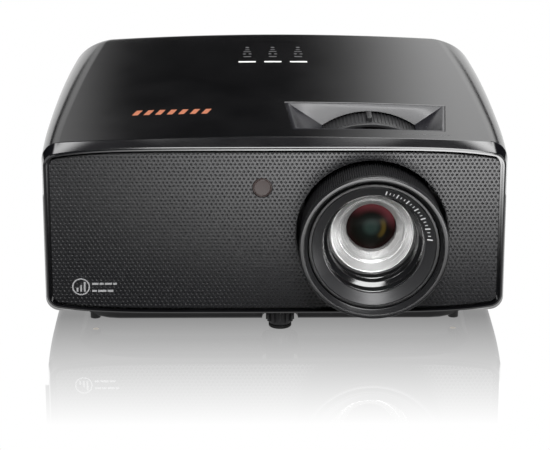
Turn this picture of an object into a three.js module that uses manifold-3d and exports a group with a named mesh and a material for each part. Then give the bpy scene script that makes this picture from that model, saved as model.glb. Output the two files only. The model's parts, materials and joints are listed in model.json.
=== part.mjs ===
// Home projector: a crowned case with an offset zoom lens, on three screw feet.
// Millimetres, +Z up, the lens looks along -Y.
// The origin is on the floor, under the middle of the whole box.

import * as THREE from 'three';
import { mergeVertices } from 'three/addons/utils/BufferGeometryUtils.js';
import Module from 'manifold-3d';

const wasm = await Module();
wasm.setup();

// ---- driving dimensions ----

const seam = 0.4;                 // gap between fixed pieces
const runningGap = 0.6;           // gap beside what turns or slides
const roundSteps = 48;            // facets around the large rings
const smallSteps = 16;

const caseHalfWidth = 166.6;      // at the widest, a little behind the rim
const caseDepth = 265;            // rim to rear
const caseWall = 2.6;
const caseFloor = 17;             // underside of the case body
const coverRise = 12.3;           // how much higher the cover is at the rear than at the front
const crownRise = 3.7;
const frontShoulder = 13;
const rearShoulder = 29.6;
const lowerCorner = 10;
const frontNarrowing = 2.2;       // how much slimmer the case is at the rim
const bulgeReach = 77;            // distance behind the rim where the case is widest
const rearTaper = 6.8;
const rearCorner = 15;            // rounding of the rear corners, in plan
const rearTopEdge = 5;            // rounding of the rear top edge

const rimInset = 3.9;             // rim inside the widest part of the case
const rimLift = 1.2;              // rim above the case floor
const rimShoulder = 9;
const rimBow = 4.6;               // how far the rim's top and bottom curve in before its corners
const rimBowPower = 6;            // flat in the middle, curving only near the corners
const rimFace = 1.6;              // width of the rim's flat front edge
const bezelDepth = 10.5;          // rim to the cover's front edge
const bezelRise = 5.2;            // height of the sloped band on top of the bezel
const grooveWidth = 1.8;          // dark groove around the front panel
const panelRecess = 1.2;
const panelThickness = 3;
const panelBelowLens = 0.7;
const panelAboveLens = 6.1;
const flangeReach = 7;            // how far the bezel reaches in behind the panel

const coverSplitRise = 8;         // seam between tray and cover, above the case floor
const trayFloor = 7;
const traySetBack = 18;           // rim to the tray's front
const trayInset = 20.6;           // tray side inside the case side, at its top
const trayDraft = 6;              // how much narrower the tray is at its bottom
const trayRearInset = 14;
const trayCorner = 26;
const trayEdge = 1.5;

const lensInset = 97.2;           // lens axis inside the right side of the case
const lensReach = 30;             // how far the focus ring stands out in front of the rim
const focusRadius = 52.6;
const focusGripStep = 1.8;
const focusBack = 16;             // behind the rim, as all lens places below
const barrelRadius = 46;
const barrelWall = 2.2;
const lensHoleMargin = 2.4;       // hole in the panel, around the focus ring
const shroudWall = 1.8;
const zoomStep = 11.4;            // zoom ring outside the panel's hole
const zoomFront = 58;
const zoomLength = 35;
const zoomBand = 3.4;
const zoomWeb = 4;
const tabHeight = 3.2;
const tabWidth = 3.9;
const tabLength = 17;
const scaleDepth = 4;             // front edge of the scale ring behind the focus ring's rim
const scaleSlope = 5;
const scaleWidth = 7.1;
const coneBack = 2.5;
const coneInner = 29.3;
const trimStep = 22.2;
const trimBack = 17;
const glassRadius = 17.4;
const innerGlassRadius = 14;
const innerGlassSpace = 14;

const pocketFront = 29;           // finger recess, measured where it meets the cover
const pocketRear = 86;
const pocketHalfWidth = 58;
const pocketFloorHalfWidth = 24;
const pocketFloorFront = 36;
const pocketFloorRear = 75.5;
const pocketDrop = 13.7;          // pocket floor below the top of the zoom ring
const pocketRise = 3;             // surface at the recess, above the cover's front edge
const linerWall = 2;
const ringRoom = 1.3;             // clearance of the zoom ring in the recess

const windowFromLens = 78.2;      // infrared window, from the lens axis
const windowRise = 35;
const windowRadius = 6.9;
const windowThickness = 4;

const lightFromRear = 77;         // status lights in the top cover
const lightWidth = 13.4;
const lightLength = 3;
const lightPitch = 20;
const lightPipeDepth = 4;

const footRadius = 10.5;
const footRibs = 12;
const footRibDepth = 0.9;
const footWellRoom = 2.5;
const footTravel = 12;
const footTop = 15.6;
const padHeight = 2.4;
const studRadius = 4;
const studGrip = 8.4;             // thread left in the boss at full travel
const footBossRadius = 8;
const footBossTop = 30;
const frontFootFromLens = 65.4;   // sideways from the lens axis
const frontFootBehind = 22.5;
const rearFootInset = 54.6;
const rearFootFromRear = 39;

const insertInset = 9;            // ceiling-mount inserts, inside the tray's bottom edge
const insertFront = 29;
const insertFromRear = 69;
const insertRadius = 2.3;
const insertHole = 1.5;
const insertDepth = 8;
const insertBossRadius = 3.7;
const insertBossDrop = 2.5;       // boss below the tray floor
const insertBossRise = 12;

const rearPanelInset = 40.6;
const rearPanelBottom = 36;
const rearPanelTop = 122;
const rearPanelThickness = 2.6;
const rearPanelCorner = 6;

const sidePanelFront = 34;        // air slots in both side walls
const sidePanelFromRear = 43;
const sidePanelBottom = 38;
const sidePanelTop = 112;
const sidePanelFrame = 8;
const slotWidth = 3.2;
const slotPitch = 7.4;

const socketWall = 1;
const socketDepth = 12;
const socketRecess = 2;
const keyRadius = 4.2;
const keyFlange = 1;
const keySpacing = 11.5;
const keyPadInset = 52;
const keyPadZ = 94;

const fanSize = 80;
const fanDepth = 20;
const fanBlades = 7;
const engineLength = 60;
const engineHalfWidth = 42;
const mountPlateThickness = 5;
const boardThickness = 1.6;
const boardZ = 47;
const wheelRadius = 26;
const wheelFromLens = 53.4;
const wheelRise = 18.7;
const boxWall = 3;

// ---- places that follow from them ----

const rimY = lensReach - (caseDepth + lensReach) / 2;
const rearY = rimY + caseDepth;
const rimHalfWidth = caseHalfWidth - rimInset;
const rimBottom = caseFloor + rimLift;
const lensHoleRadius = focusRadius + lensHoleMargin;
const lensX = caseHalfWidth - lensInset;
const lensZ = rimBottom + rimFace + grooveWidth + panelBelowLens + lensHoleRadius;
const rimTop = lensZ + lensHoleRadius + panelAboveLens + grooveWidth + rimFace;
const coverFrontTop = rimTop + bezelRise;
const coverRearTop = coverFrontTop + coverRise;
const coverSplit = caseFloor + coverSplitRise;
const trayTopHalfWidth = caseHalfWidth - trayInset;
const trayBottomHalfWidth = trayTopHalfWidth - trayDraft;
const focusGripRadius = focusRadius - focusGripStep;
const shroudRadius = lensHoleRadius + seam * 2;
const zoomRadius = lensHoleRadius + zoomStep;
const zoomBack = zoomFront + zoomLength;
const pocketSurface = coverFrontTop + pocketRise;
const pocketFloor = lensZ + zoomRadius - pocketDrop;
const scaleOuter = barrelRadius - barrelWall - seam;
const scaleInner = scaleOuter - scaleWidth;
const scaleFront = -lensReach + scaleDepth;
const scaleBack = scaleFront + scaleSlope;
const barrelBack = zoomBack + 20;
const windowX = lensX - windowFromLens;
const windowZ = lensZ + windowRise;
const lightBehind = caseDepth - lightFromRear;
const studTop = footTop + footTravel + studGrip;
const frontFootX = lensX - frontFootFromLens;
const rearPanelHalfWidth = caseHalfWidth - rearPanelInset;
const keyPadX = rearPanelHalfWidth - keyPadInset;
const sidePanelRear = caseDepth - sidePanelFromRear;
const plateY = rimY + barrelBack + seam;
const engineY = plateY + mountPlateThickness + seam;
const chipY = engineY + engineLength + seam;
const wheelX = lensX - wheelFromLens;
const wheelY = engineY + engineLength * 0.57;
const wheelZ = lensZ + wheelRise;
const far = 400;                  // longer than any piece, for cutting right through

// ---- solids ----

// Turns closed three.js geometry into a solid with its faces turned outward.
function solid(geometry) {
  geometry.deleteAttribute('normal');
  geometry.deleteAttribute('uv');
  const merged = mergeVertices(geometry, 1e-4);
  const places = merged.attributes.position.array;
  const index = merged.index.array;
  const corners = [0, 1, 2].map(() => new THREE.Vector3());
  const kept = [];
  let volume = 0;
  for (let i = 0; i < index.length; i += 3) {
    const [a, b, c] = [index[i], index[i + 1], index[i + 2]];
    if (a === b || b === c || c === a) continue;
    kept.push([a, b, c]);
    corners.forEach((corner, k) => corner.fromArray(places, 3 * index[i + k]));
    volume += corners[0].dot(corners[1].clone().cross(corners[2]));
  }
  const outward = volume < 0 ? kept.map(([a, b, c]) => [a, c, b]) : kept;
  return new wasm.Manifold(new wasm.Mesh({
    numProp: 3,
    vertProperties: new Float32Array(places),
    triVerts: new Uint32Array(outward.flat()),
  }));
}

function join(solids) {
  return solids.reduce((whole, piece) => whole.add(piece));
}

function cut(whole, tools) {
  return tools.reduce((rest, tool) => rest.subtract(tool), whole);
}

// A box from its low corner to its high corner.
function box(low, high) {
  const size = high.map((value, axis) => value - low[axis]);
  const geometry = new THREE.BoxGeometry(...size);
  geometry.translate(...low.map((value, axis) => value + size[axis] / 2));
  return solid(geometry);
}

function cylinder(axis, radius, from, to, centre, steps = smallSteps) {
  const geometry = new THREE.CylinderGeometry(radius, radius, to - from, steps);
  geometry.translate(0, (from + to) / 2, 0);
  if (axis === 'x') geometry.rotateZ(-Math.PI / 2);
  if (axis === 'z') geometry.rotateX(Math.PI / 2);
  geometry.translate(...centre);
  return solid(geometry);
}

// A ring or disc turned about Y, from a closed profile of [radius, y] points.
function turned(profile, steps = roundSteps) {
  const points = [...profile, profile[0]].map(([radius, y]) => new THREE.Vector2(radius, y));
  return solid(new THREE.LatheGeometry(points, steps));
}

function tube(outer, inner, from, to, steps = roundSteps) {
  return turned([[inner, from], [outer, from], [outer, to], [inner, to]], steps);
}

// Skins a row of rings, each a list of THREE.Vector3, and closes both ends.
function loft(rings) {
  const count = rings[0].length;
  const places = rings.flat().flatMap((point) => point.toArray());
  const index = [];
  for (let row = 0; row < rings.length - 1; row += 1) {
    for (let i = 0; i < count; i += 1) {
      const next = (i + 1) % count;
      const here = row * count;
      const there = here + count;
      index.push(here + i, here + next, there + next, here + i, there + next, there + i);
    }
  }
  const last = (rings.length - 1) * count;
  for (let i = 1; i < count - 1; i += 1) {
    index.push(0, i + 1, i);
    index.push(last, last + i, last + i + 1);
  }
  const geometry = new THREE.BufferGeometry();
  geometry.setAttribute('position', new THREE.Float32BufferAttribute(places, 3));
  geometry.setIndex(index);
  return solid(geometry);
}

// A prism along Y of an outline in X and Z.
function prism(outline, from, to) {
  return loft([from, to].map((y) => outline.map(([x, z]) => new THREE.Vector3(x, y, z))));
}

function arc(centreX, centreY, radius, fromDegrees, toDegrees, steps) {
  return Array.from({ length: steps + 1 }, (_, i) => {
    const angle = THREE.MathUtils.degToRad(fromDegrees + (toDegrees - fromDegrees) * i / steps);
    return [centreX + radius * Math.cos(angle), centreY + radius * Math.sin(angle)];
  });
}

function roundedRectangle(left, right, bottom, top, radius, steps = 4) {
  return [
    ...arc(right - radius, bottom + radius, radius, -90, 0, steps),
    ...arc(right - radius, top - radius, radius, 0, 90, steps),
    ...arc(left + radius, top - radius, radius, 90, 180, steps),
    ...arc(left + radius, bottom + radius, radius, 180, 270, steps),
  ];
}

// ---- case outline ----

// The case seen from the front: straight sides and round corners, with a top that falls by crown and
// a bottom that rises by belly on the way to them. A higher power keeps the middle flatter.
function crownedOutline({ halfWidth, top, bottom, shoulder, corner, crown, belly = 0, power = 2 }) {
  const upper = bowedSide(halfWidth, shoulder, crown, power, 8);
  const lower = bowedSide(halfWidth, corner, belly, power, 5);
  return [
    ...upper.map(([x, drop]) => [x, top - drop]),
    ...lower.map(([x, rise]) => [-x, bottom + rise]),
  ];
}

// One bowed side, from its right corner to its left one, as points of [x, distance inward].
function bowedSide(halfWidth, radius, bow, power, cornerSteps) {
  const steps = 16;
  const slope = Math.atan(power * bow / (halfWidth - radius));
  const bowHalf = halfWidth - radius + radius * Math.sin(slope);
  const centreDepth = bow + radius * Math.cos(slope);
  const cornerTurn = 90 - THREE.MathUtils.radToDeg(slope);
  const corner = arc(halfWidth - radius, -centreDepth, radius, 0, cornerTurn, cornerSteps);
  const right = corner.map(([x, height]) => [x, -height]);
  const middle = Array.from({ length: steps - 1 }, (_, i) => {
    const share = Math.cos(Math.PI * (i + 1) / steps);
    return [bowHalf * share, bow * Math.abs(share) ** power];
  });
  return [...right, ...middle, ...right.map(([x, depth]) => [-x, depth]).reverse()];
}

// How far a rounded edge has drawn in, at a distance past the start of its rounding.
function roundedInset(past, radius) {
  if (past <= 0) return 0;
  return radius - Math.sqrt(Math.max(0, radius * radius - past * past));
}

// Size of the case body at a distance behind the rim; inset shrinks it all round.
function caseSize(behind, inset) {
  const end = caseDepth - inset;
  const narrowing = frontNarrowing * Math.max(0, 1 - behind / bulgeReach) ** 2;
  const taper = rearTaper * Math.max(0, (behind - bulgeReach / 2) / (caseDepth - bulgeReach / 2)) ** 3;
  const along = (behind - bezelDepth) / (caseDepth - bezelDepth);
  const cornerPast = behind - (end - (rearCorner - inset));
  const edgePast = behind - (end - Math.max(rearTopEdge - inset, 0));
  const edgeInset = roundedInset(edgePast, Math.max(rearTopEdge - inset, 0));
  return {
    halfWidth: caseHalfWidth - narrowing - taper - inset - roundedInset(cornerPast, rearCorner - inset),
    top: THREE.MathUtils.lerp(coverFrontTop, coverRearTop, along) - inset - edgeInset,
    bottom: caseFloor + inset + edgeInset,
    shoulder: THREE.MathUtils.lerp(frontShoulder, rearShoulder, along) - inset,
    corner: lowerCorner - inset,
    crown: crownRise,
  };
}

function ringAt(behind, size) {
  return crownedOutline(size).map(([x, z]) => new THREE.Vector3(x, rimY + behind, z));
}

// The case body as one solid, shrunk all round by inset, from a distance behind the rim to the rear.
function caseBody(inset, from) {
  const end = caseDepth - inset;
  const cornerStart = end - (rearCorner - inset);
  const straight = [0, 0.25, 0.5, 0.75].map((share) => THREE.MathUtils.lerp(from, cornerStart, share));
  const round = [0, 22, 44, 62, 76, 90].map((degrees) => (
    cornerStart + (rearCorner - inset) * Math.sin(THREE.MathUtils.degToRad(degrees))
  ));
  return loft([...straight, ...round].map((behind) => ringAt(behind, caseSize(behind, inset))));
}

function coverTopAt(x, behind) {
  const { top, halfWidth, shoulder, crown } = caseSize(behind, 0);
  return top - crown * (x / (halfWidth - shoulder)) ** 2;
}

// ---- shared cutting tools ----

const caseShell = caseBody(0, bezelDepth).subtract(caseBody(caseWall, bezelDepth - 1));

function sideWindow(side, clearance) {
  const inner = side * (caseHalfWidth - frontShoulder);
  const outer = side * far;
  return box(
    [Math.min(inner, outer), rimY + sidePanelFront + clearance, sidePanelBottom + clearance],
    [Math.max(inner, outer), rimY + sidePanelRear - clearance, sidePanelTop - clearance],
  );
}

function rearWindow(clearance, from, to) {
  const half = rearPanelHalfWidth - clearance;
  const bottom = rearPanelBottom + clearance;
  const top = rearPanelTop - clearance;
  return prism(roundedRectangle(-half, half, bottom, top, rearPanelCorner), from, to);
}

// The finger recess: a funnel with four sloped sides, grown outward by growth.
function funnel(fromZ, toZ, growth) {
  const ring = (z) => {
    const share = (z - pocketFloor) / (pocketSurface - pocketFloor);
    const half = THREE.MathUtils.lerp(pocketFloorHalfWidth, pocketHalfWidth, share) + growth;
    const front = rimY + THREE.MathUtils.lerp(pocketFloorFront, pocketFront, share) - growth;
    const rear = rimY + THREE.MathUtils.lerp(pocketFloorRear, pocketRear, share) + growth;
    const corners = [[-half, front], [half, front], [half, rear], [-half, rear]];
    return corners.map(([x, y]) => new THREE.Vector3(lensX + x, y, z));
  };
  return loft([ring(fromZ), ring(toZ)]);
}

function statusLightSlot(index, clearance) {
  const x = (index - 1) * lightPitch;
  const y = rimY + lightBehind;
  const halfWidth = lightWidth / 2 + clearance;
  const halfLength = lightLength / 2 + clearance;
  const depth = caseWall + lightPipeDepth;
  return box(
    [x - halfWidth, y - halfLength, coverTopAt(x, lightBehind) - depth],
    [x + halfWidth, y + halfLength, far],
  );
}

const rearFootX = caseHalfWidth - rearFootInset;
const feet = [
  { name: 'front_foot', x: frontFootX, y: rimY + frontFootBehind },
  { name: 'rear_left_foot', x: -rearFootX, y: rearY - rearFootFromRear },
  { name: 'rear_right_foot', x: rearFootX, y: rearY - rearFootFromRear },
];

const insertX = trayBottomHalfWidth - insertInset;
const inserts = [
  { name: 'mount_insert_front_left', x: -insertX, y: rimY + insertFront },
  { name: 'mount_insert_front_right', x: insertX, y: rimY + insertFront },
  { name: 'mount_insert_rear_left', x: -insertX, y: rearY - insertFromRear },
  { name: 'mount_insert_rear_right', x: insertX, y: rearY - insertFromRear },
];

// ---- looks ----

function look(color, roughness, metalness = 0) {
  return new THREE.MeshStandardMaterial({ color, roughness, metalness });
}

const looks = {
  cover: look(0x17171a, 0.35),
  gloss: look(0x0c0c0e, 0.12),
  panel: look(0x2b2c30, 0.55),
  dark: look(0x0a0a0b, 0.7),
  tray: look(0x1c1c1f, 0.6),
  grey: look(0x6c6d70, 0.45),
  window: look(0x3a2624, 0.15),
  light: look(0xf2f2ee, 0.4),
  steel: look(0x9fa3a8, 0.3, 1),
  silver: look(0xd8d8d6, 0.2, 1),
  aluminium: look(0xa9abad, 0.4, 1),
  brass: look(0xb8924a, 0.35, 1),
  glass: look(0x1a2430, 0.03),
  rubber: look(0x121212, 0.9),
  board: look(0x1d4a2c, 0.6),
  label: look(0xc9c9c4, 0.6),
};

// ---- assembly ----

const projector = new THREE.Group();
const lens = new THREE.Group();
lens.position.set(lensX, rimY, lensZ);
projector.add(lens);

function addPart(name, shape, material, parent = projector) {
  const { vertProperties, triVerts } = shape.getMesh();
  const geometry = new THREE.BufferGeometry();
  geometry.setAttribute('position', new THREE.Float32BufferAttribute(vertProperties, 3));
  geometry.setIndex([...triVerts]);
  geometry.computeVertexNormals();
  const mesh = new THREE.Mesh(geometry, material);
  mesh.name = name;
  parent.add(mesh);
  return mesh;
}

// ---- outer case ----

function topCover() {
  const opening = funnel(pocketFloor - linerWall - 1, pocketSurface + 8, linerWall + seam);
  return cut(caseShell, [
    box([-far, -far, -far], [far, far, coverSplit]),
    sideWindow(-1, 0),
    sideWindow(1, 0),
    rearWindow(0, rearY - caseWall - 5, rearY + 5),
    opening,
    ...[0, 1, 2].map((index) => statusLightSlot(index, seam)),
  ]);
}

// The foot wells in the tray; grown for the walls around them.
function footWells(growth) {
  const radius = footRadius + footWellRoom + growth;
  return join(feet.map(({ name, x, y }) => {
    const well = cylinder('z', radius, -1, caseFloor + growth, [x, y, 0], smallSteps);
    if (name !== 'front_foot') return well;
    return well.add(box([x - radius, y - traySetBack, -1], [x + radius, y, caseFloor + growth]));
  }));
}

function trayBasin(inset) {
  const ring = (z, halfWidth, draw) => {
    const half = halfWidth - inset - draw;
    const front = rimY + traySetBack + inset + draw;
    const rear = rearY - trayRearInset - inset - draw;
    return roundedRectangle(-half, half, front, rear, trayCorner - inset, 5)
      .map(([x, y]) => new THREE.Vector3(x, y, z));
  };
  return loft([
    ring(trayFloor + inset, trayBottomHalfWidth, trayEdge),
    ring(trayFloor + inset + trayEdge, trayBottomHalfWidth, 0),
    ring(caseFloor + caseWall + inset, trayTopHalfWidth, 0),
  ]);
}

function bottomTray() {
  const rimPart = caseShell.intersect(box([-far, -far, -1], [far, far, coverSplit - seam]));
  const basin = trayBasin(0).subtract(footWells(0));
  const hollow = trayBasin(caseWall).subtract(footWells(caseWall));
  const footBosses = join(feet.map(({ x, y }) => (
    cylinder('z', footBossRadius, caseFloor + 0.5, footBossTop, [x, y, 0])
  )));
  const bossBottom = trayFloor - insertBossDrop;
  const insertBosses = join(inserts.map(({ x, y }) => (
    cylinder('z', insertBossRadius, bossBottom, trayFloor + insertBossRise, [x, y, 0])
  )));
  const airSlots = [];
  const slotReach = 52;
  for (let x = -slotReach; x <= slotReach; x += slotPitch * 1.4) {
    airSlots.push(box([x, rimY + 120, 0], [x + slotWidth, rimY + 175, trayFloor + caseWall + 2]));
  }
  return cut(rimPart.add(basin).subtract(hollow).add(footBosses).add(insertBosses), [
    ...feet.map(({ x, y }) => cylinder('z', studRadius + runningGap, 0, studTop, [x, y, 0])),
    ...inserts.map(({ x, y }) => (
      cylinder('z', insertRadius + seam, 0, bossBottom + insertDepth + 1, [x, y, 0])
    )),
    ...airSlots,
  ]);
}

function sidePanel(side) {
  const skin = caseShell.intersect(sideWindow(side, seam));
  const margin = sidePanelFrame;
  const slots = [];
  for (let y = sidePanelFront + margin; y < sidePanelRear - margin; y += slotPitch) {
    slots.push(box(
      [Math.min(0, side * far), rimY + y, sidePanelBottom + margin],
      [Math.max(0, side * far), rimY + y + slotWidth, sidePanelTop - margin],
    ));
  }
  return cut(skin, slots);
}

// Size of the rim's outline, grown all round.
function rim(grow) {
  return {
    halfWidth: rimHalfWidth + grow,
    top: rimTop + grow,
    bottom: rimBottom - grow,
    shoulder: rimShoulder + grow,
    corner: rimShoulder + grow,
    crown: rimBow,
    belly: rimBow,
    power: rimBowPower,
  };
}

function frontBezel() {
  const edge = 1;
  const outer = loft([
    ringAt(0, rim(0)),
    ringAt(edge, rim(edge * 0.6)),
    ringAt(bezelDepth - seam, { ...caseSize(bezelDepth, 0) }),
  ]);
  const panelBack = panelRecess + panelThickness + seam;
  return cut(outer, [
    prism(crownedOutline(rim(-rimFace)), rimY - 1, rimY + panelBack),
    prism(crownedOutline(rim(-rimFace - flangeReach)), rimY, rimY + bezelDepth + 1),
    cylinder('y', shroudRadius + seam, rimY, rimY + bezelDepth + 1, [lensX, 0, lensZ], roundSteps),
  ]);
}

function frontPanel() {
  const outline = crownedOutline(rim(-rimFace - grooveWidth));
  const front = rimY + panelRecess;
  const back = front + panelThickness;
  return cut(prism(outline, front, back), [
    cylinder('y', lensHoleRadius, front - 1, back + 1, [lensX, 0, lensZ], roundSteps),
    cylinder('y', windowRadius + seam, front - 1, back + 1, [windowX, 0, windowZ]),
  ]);
}

function pocketLiner() {
  const skin = funnel(pocketFloor - linerWall, pocketSurface + 4, linerWall)
    .subtract(funnel(pocketFloor, pocketSurface + 5, 0))
    .intersect(caseBody(0.2, bezelDepth));
  const front = rimY + zoomFront - ringRoom;
  const back = rimY + zoomBack + ringRoom;
  return skin.subtract(cylinder('y', zoomRadius + ringRoom, front, back, [lensX, 0, lensZ], roundSteps));
}

function infraredWindow() {
  const edge = 0.5;
  return turned([
    [0, 0], [windowRadius - edge, 0], [windowRadius, edge],
    [windowRadius, windowThickness], [0, windowThickness],
  ], smallSteps);
}

// ---- lens, built about its own axis with y = 0 at the rim ----

function lensShroud() {
  const front = panelRecess + panelThickness + seam;
  return tube(shroudRadius, shroudRadius - shroudWall, front, pocketFloorFront - linerWall - 3);
}

function focusRing() {
  const rimLength = 5;
  const inner = barrelRadius + runningGap;
  return turned([
    [focusRadius - 3, -lensReach],
    [focusRadius - 0.6, -lensReach],
    [focusRadius, -lensReach + 0.6],
    [focusRadius, -lensReach + rimLength],
    [focusGripRadius, -lensReach + rimLength + 1],
    [focusGripRadius, focusBack],
    [inner, focusBack],
    [inner, scaleFront],
  ]);
}

function zoomRing() {
  const inner = barrelRadius + runningGap;
  const edge = 0.6;
  const bandInner = zoomRadius - zoomBand;
  const webFront = (zoomFront + zoomBack - zoomWeb) / 2;
  const webBack = webFront + zoomWeb;
  const ring = turned([
    [inner, webFront - 6], [inner + 3, webFront - 6], [inner + 3, webFront],
    [bandInner, webFront], [bandInner, zoomFront], [zoomRadius - edge, zoomFront],
    [zoomRadius, zoomFront + edge], [zoomRadius, zoomBack - edge], [zoomRadius - edge, zoomBack],
    [bandInner, zoomBack], [bandInner, webBack], [inner, webBack],
  ]);
  const tab = box(
    [-tabWidth / 2, zoomFront + 3, zoomRadius - 1],
    [tabWidth / 2, zoomFront + 3 + tabLength, zoomRadius + tabHeight],
  );
  return ring.add(tab);
}

function lensBarrel() {
  const inner = barrelRadius - barrelWall;
  const flange = barrelRadius + 8;
  return turned([
    [barrelRadius, scaleFront], [barrelRadius, barrelBack - 4], [flange, barrelBack - 4],
    [flange, barrelBack], [inner, barrelBack], [inner, scaleFront],
  ]);
}

const insetWall = 2;

function scaleRing() {
  return turned([
    [scaleOuter, scaleFront], [scaleOuter, scaleFront + insetWall],
    [scaleInner, scaleBack + insetWall], [scaleInner, scaleBack],
  ]);
}

function baffleCone() {
  const front = scaleBack + insetWall + seam;
  return turned([
    [scaleInner, front], [scaleInner + insetWall, front],
    [coneInner + insetWall, coneBack], [coneInner, coneBack],
  ]);
}

// The bright ring steps down in two cones to the glass, and holds it in a short tube.
function trimRing() {
  const front = coneBack + seam;
  const half = front + 7;
  const bore = glassRadius + runningGap;
  const tubeBack = trimBack + 8;
  return turned([
    [coneInner + insetWall, front], [coneInner - seam, front], [trimStep + 1.2, half],
    [trimStep, half + 0.6], [bore, trimBack - 1.5], [bore, tubeBack],
    [bore + 2.4, tubeBack], [coneInner + insetWall, half + 1],
  ]);
}

// A lens element: a disc of glass with a domed front of the given height.
function lensElement(radius, front, dome, thickness) {
  const steps = 5;
  const curve = Array.from({ length: steps + 1 }, (_, i) => {
    const share = i / steps;
    return [radius * share, front + dome * share * share];
  });
  return turned([...curve, [radius, front + dome + thickness], [0, front + dome + thickness]], 32);
}

// ---- light engine and electronics ----

function lensMountPlate() {
  const across = 58;
  const up = 48;
  const back = plateY + mountPlateThickness;
  return box([lensX - across, plateY, lensZ - up], [lensX + across, back, lensZ + up])
    .subtract(cylinder('y', barrelRadius - barrelWall, plateY - 1, back + 1, [lensX, 0, lensZ], 32));
}

// A box that is open at the top.
function openBox(low, high) {
  const inner = box(low.map((v) => v + boxWall), [high[0] - boxWall, high[1] - boxWall, high[2] + 1]);
  return box(low, high).subtract(inner);
}

function engineHousing() {
  const left = lensX - engineHalfWidth;
  const top = lensZ + 34;
  const housing = openBox([left, engineY, lensZ - 24], [lensX + engineHalfWidth, chipY - seam, top]);
  return cut(housing, [
    cylinder('y', glassRadius, engineY - 1, engineY + boxWall + 1, [lensX, 0, lensZ]),
    cylinder('x', 8, left - 1, left + boxWall + 1, [0, wheelY, wheelZ - wheelRadius + 9]),
  ]);
}

// The wheel and its motor share an axle along X, between the light source and the engine.
function colourWheel() {
  const centre = [0, wheelY, wheelZ];
  const disc = cylinder('x', wheelRadius, wheelX, wheelX + 1.2, centre, roundSteps);
  const hub = cylinder('x', 9, wheelX - 2, wheelX + 3, centre);
  return disc.add(hub).subtract(cylinder('x', 2 + runningGap, wheelX - 3, wheelX + 4, centre));
}

function wheelMotor() {
  const centre = [0, wheelY, wheelZ];
  const back = wheelX - 13;
  return join([
    cylinder('x', 10, back, wheelX - 2 - runningGap, centre),
    cylinder('x', 2, back + 1, wheelX + 3.4, centre),
    box([back, wheelY - 12, wheelZ - 40], [back + 4, wheelY + 12, wheelZ]),
  ]);
}

// A base plate with upright fins, spread along X or Y.
function heatSink(low, high, across, fins) {
  const base = 4;
  const finWidth = 1.6;
  const pitch = (high[across] - low[across] - finWidth) / (fins - 1);
  const pieces = [box(low, [high[0], high[1], low[2] + base])];
  for (let i = 0; i < fins; i += 1) {
    const finLow = [low[0], low[1], low[2] + base - 1];
    const finHigh = [...high];
    finLow[across] = low[across] + pitch * i;
    finHigh[across] = finLow[across] + finWidth;
    pieces.push(box(finLow, finHigh));
  }
  return join(pieces);
}

function fanFrame(side, x, y, z) {
  const half = fanSize / 2;
  const hubPlate = 2;
  const frame = box([x, y - half, z - half], [x + fanDepth, y + half, z + half])
    .subtract(cylinder('x', half - 2.5, x - 1, x + fanDepth + 1, [0, y, z], 32));
  const spokeX = side > 0 ? x : x + fanDepth - hubPlate;
  const spokes = [0, 60, 120].map((degrees) => {
    const bar = new THREE.BoxGeometry(hubPlate, fanSize - 3, 4);
    bar.rotateX(THREE.MathUtils.degToRad(degrees));
    bar.translate(spokeX + hubPlate / 2, y, z);
    return solid(bar);
  });
  return join([frame, cylinder('x', 14, spokeX, spokeX + hubPlate, [0, y, z]), ...spokes]);
}

function fanRotor(side, x, y, z) {
  const hubPlate = 2;
  const from = side > 0 ? x + hubPlate + runningGap : x + runningGap;
  const to = side > 0 ? x + fanDepth - runningGap : x + fanDepth - hubPlate - runningGap;
  const tip = fanSize / 2 - 4;
  const root = 12;
  const blades = Array.from({ length: fanBlades }, (_, i) => {
    const blade = new THREE.BoxGeometry((to - from) * 0.8, tip - root, 1.6);
    blade.rotateY(THREE.MathUtils.degToRad(35));
    blade.translate(0, (tip + root) / 2, 0);
    blade.rotateX(i * 2 * Math.PI / fanBlades);
    blade.translate((from + to) / 2, y, z);
    return solid(blade);
  });
  return join([cylinder('x', root + 4, from, to, [0, y, z]), ...blades]);
}

function mainBoard() {
  const half = caseHalfWidth - 62.6;
  const front = rearY - 38;
  const board = box([-half, front, boardZ], [half, rearY - 12, boardZ + boardThickness]);
  const chips = [-0.7, -0.3, 0.15, 0.6].map((share) => (
    box([half * share, front + 4, boardZ + 1], [half * share + 14, front + 14, boardZ + 4])
  ));
  return join([board, ...chips]);
}

// A board on the left with two transformers, a choke and two tall capacitors.
function powerSupply() {
  const x = -caseHalfWidth + 38.6;
  const y = rimY + 34;
  const z = 30;
  const on = z + 1;
  return join([
    box([x, y, z], [x + 62, y + 90, z + 2]),
    box([x + 6, y + 6, on], [x + 30, y + 38, z + 32]),
    box([x + 36, y + 10, on], [x + 56, y + 30, z + 26]),
    box([x + 6, y + 48, on], [x + 24, y + 82, z + 22]),
    cylinder('z', 9, on, z + 34, [x + 44, y + 48, 0]),
    cylinder('z', 9, on, z + 34, [x + 44, y + 70, 0]),
  ]);
}

const chipGap = 5 + seam;

function chipBoard() {
  return join([
    box([lensX - 36, chipY, lensZ - 23], [lensX + 36, chipY + boardThickness, lensZ + 30]),
    box([lensX - 12, chipY + 1, lensZ - 10], [lensX + 12, chipY + 5, lensZ + 10]),
  ]);
}

function chipHeatSink() {
  const y = chipY + chipGap;
  return heatSink([lensX - 24, y, lensZ - 20], [lensX + 24, y + 18, lensZ + 24], 0, 9);
}

const lightLeft = -caseHalfWidth + 48.6;
const lightRight = wheelX - 18;
const lightDivide = THREE.MathUtils.lerp(lightLeft, lightRight, 0.42);

function lightSource() {
  const half = 22;
  return openBox([lightDivide + 2, wheelY - half, wheelZ - 34], [lightRight, wheelY + half, wheelZ + 10])
    .subtract(cylinder('x', 8, lightRight - boxWall - 1, lightRight + 1, [0, wheelY, wheelZ - 17]));
}

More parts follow.
